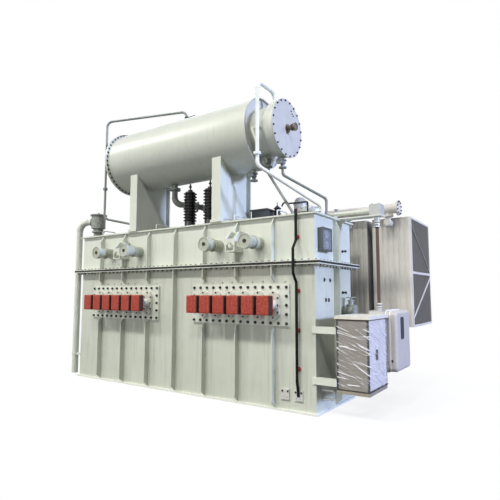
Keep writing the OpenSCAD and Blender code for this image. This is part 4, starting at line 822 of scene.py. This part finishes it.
# Radiators: pressed steel panels in stacks behind the tank, hung by their necks from two oil headers.
# The outer panels are pale and fluted, between the panels of a stack it is painted darker as a painted shade, and a
# flat bar frame with ties is welded on the right stack's side, the upper ties painted dark as a painted shade.
radiator_paint = "#dcd8d0", "#cdc9c0", "#a8a298"
radiator_run = {"run_mm": 30, "cloud_mm": 500}
radiator_enamel = enamel("radiator_enamel", *radiator_paint, **radiator_run)
paint_nodes(radiator_enamel, "oil_headers", "radiator_necks")
tie_low, tie_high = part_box("radiator_ties")
# Painted shade: above the middle the ties give way to a dark colour.
tie_middle, shade_starts, shade_covers = (tie_low.z + tie_high.z) / 2, 0.06, 0.09
tie_shaded_enamel = darkened_above(enamel("radiator_tie_painted_shade", *radiator_paint, **radiator_run),
                    tie_middle + shade_starts, tie_middle + shade_covers, "#5b5955")
paint_nodes(tie_shaded_enamel, "radiator_ties")
stack_low, stack_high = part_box("radiators")
half_stack, shade_to, lit_from = (stack_high.y - stack_low.y) / 2, 0.055, 0.030
stack_shaded_enamel = enamel("radiator_stack_painted_shade", *radiator_paint, **radiator_run)
tree = stack_shaded_enamel.node_tree
stack_colour = tree.nodes["Principled BSDF"].inputs["Base Color"]
# Painted shade: the stack's side is darker between its outer panels, where the gaps between the panels lie.
off_middle = add(tree, "ShaderNodeMath", {0: axes_in(tree)["Y"], 1: stack_low.y + half_stack},
                 operation="SUBTRACT").outputs[0]
off_middle = add(tree, "ShaderNodeMath", {0: off_middle}, operation="ABSOLUTE").outputs[0]
lit_share = ranged(tree, off_middle, half_stack - shade_to, half_stack - lit_from)
tree.links.new(mixed(tree, lit_share, linear("#a09e9a"), stack_colour.links[0].from_socket), stack_colour)
paint_nodes(stack_shaded_enamel, "radiators")

header_at, header_circle, header_count = (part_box("oil_headers")[1].x, 1.0, 3.125), 0.108, 10
circle_spots = (turned([(header_circle, 0)], header_count)[0], np.empty((0, 4), int))
header_spots = placed(circle_spots, [header_at], to_right)[0]
header_bolt = bolt(across=0.022, head=0.014, radius=0.015, thick=0.003)
dress("header_bolts", placed(header_bolt, header_spots, to_right), dark_zinc)
bar_wide, bar_in, bar_proud = 0.034, 0.012, 0.007
bar_y = stack_low.y + 0.022
frame_bars = [slab((stack_high.x - bar_in, y0, z0), (stack_high.x + bar_proud, y1, z1), bevel=0.002)
              for y0, y1, z0, z1 in
              ((bar_y - 0.012, bar_y + bar_wide, stack_low.z, stack_high.z),
               (stack_high.y - bar_wide, stack_high.y, stack_low.z, stack_high.z),
               (bar_y + bar_wide, stack_high.y - bar_wide, stack_high.z - bar_wide, stack_high.z),
               (bar_y + bar_wide, stack_high.y - bar_wide, stack_low.z, stack_low.z + bar_wide))]
dress("stack_frame", joined(*frame_bars), radiator_enamel)
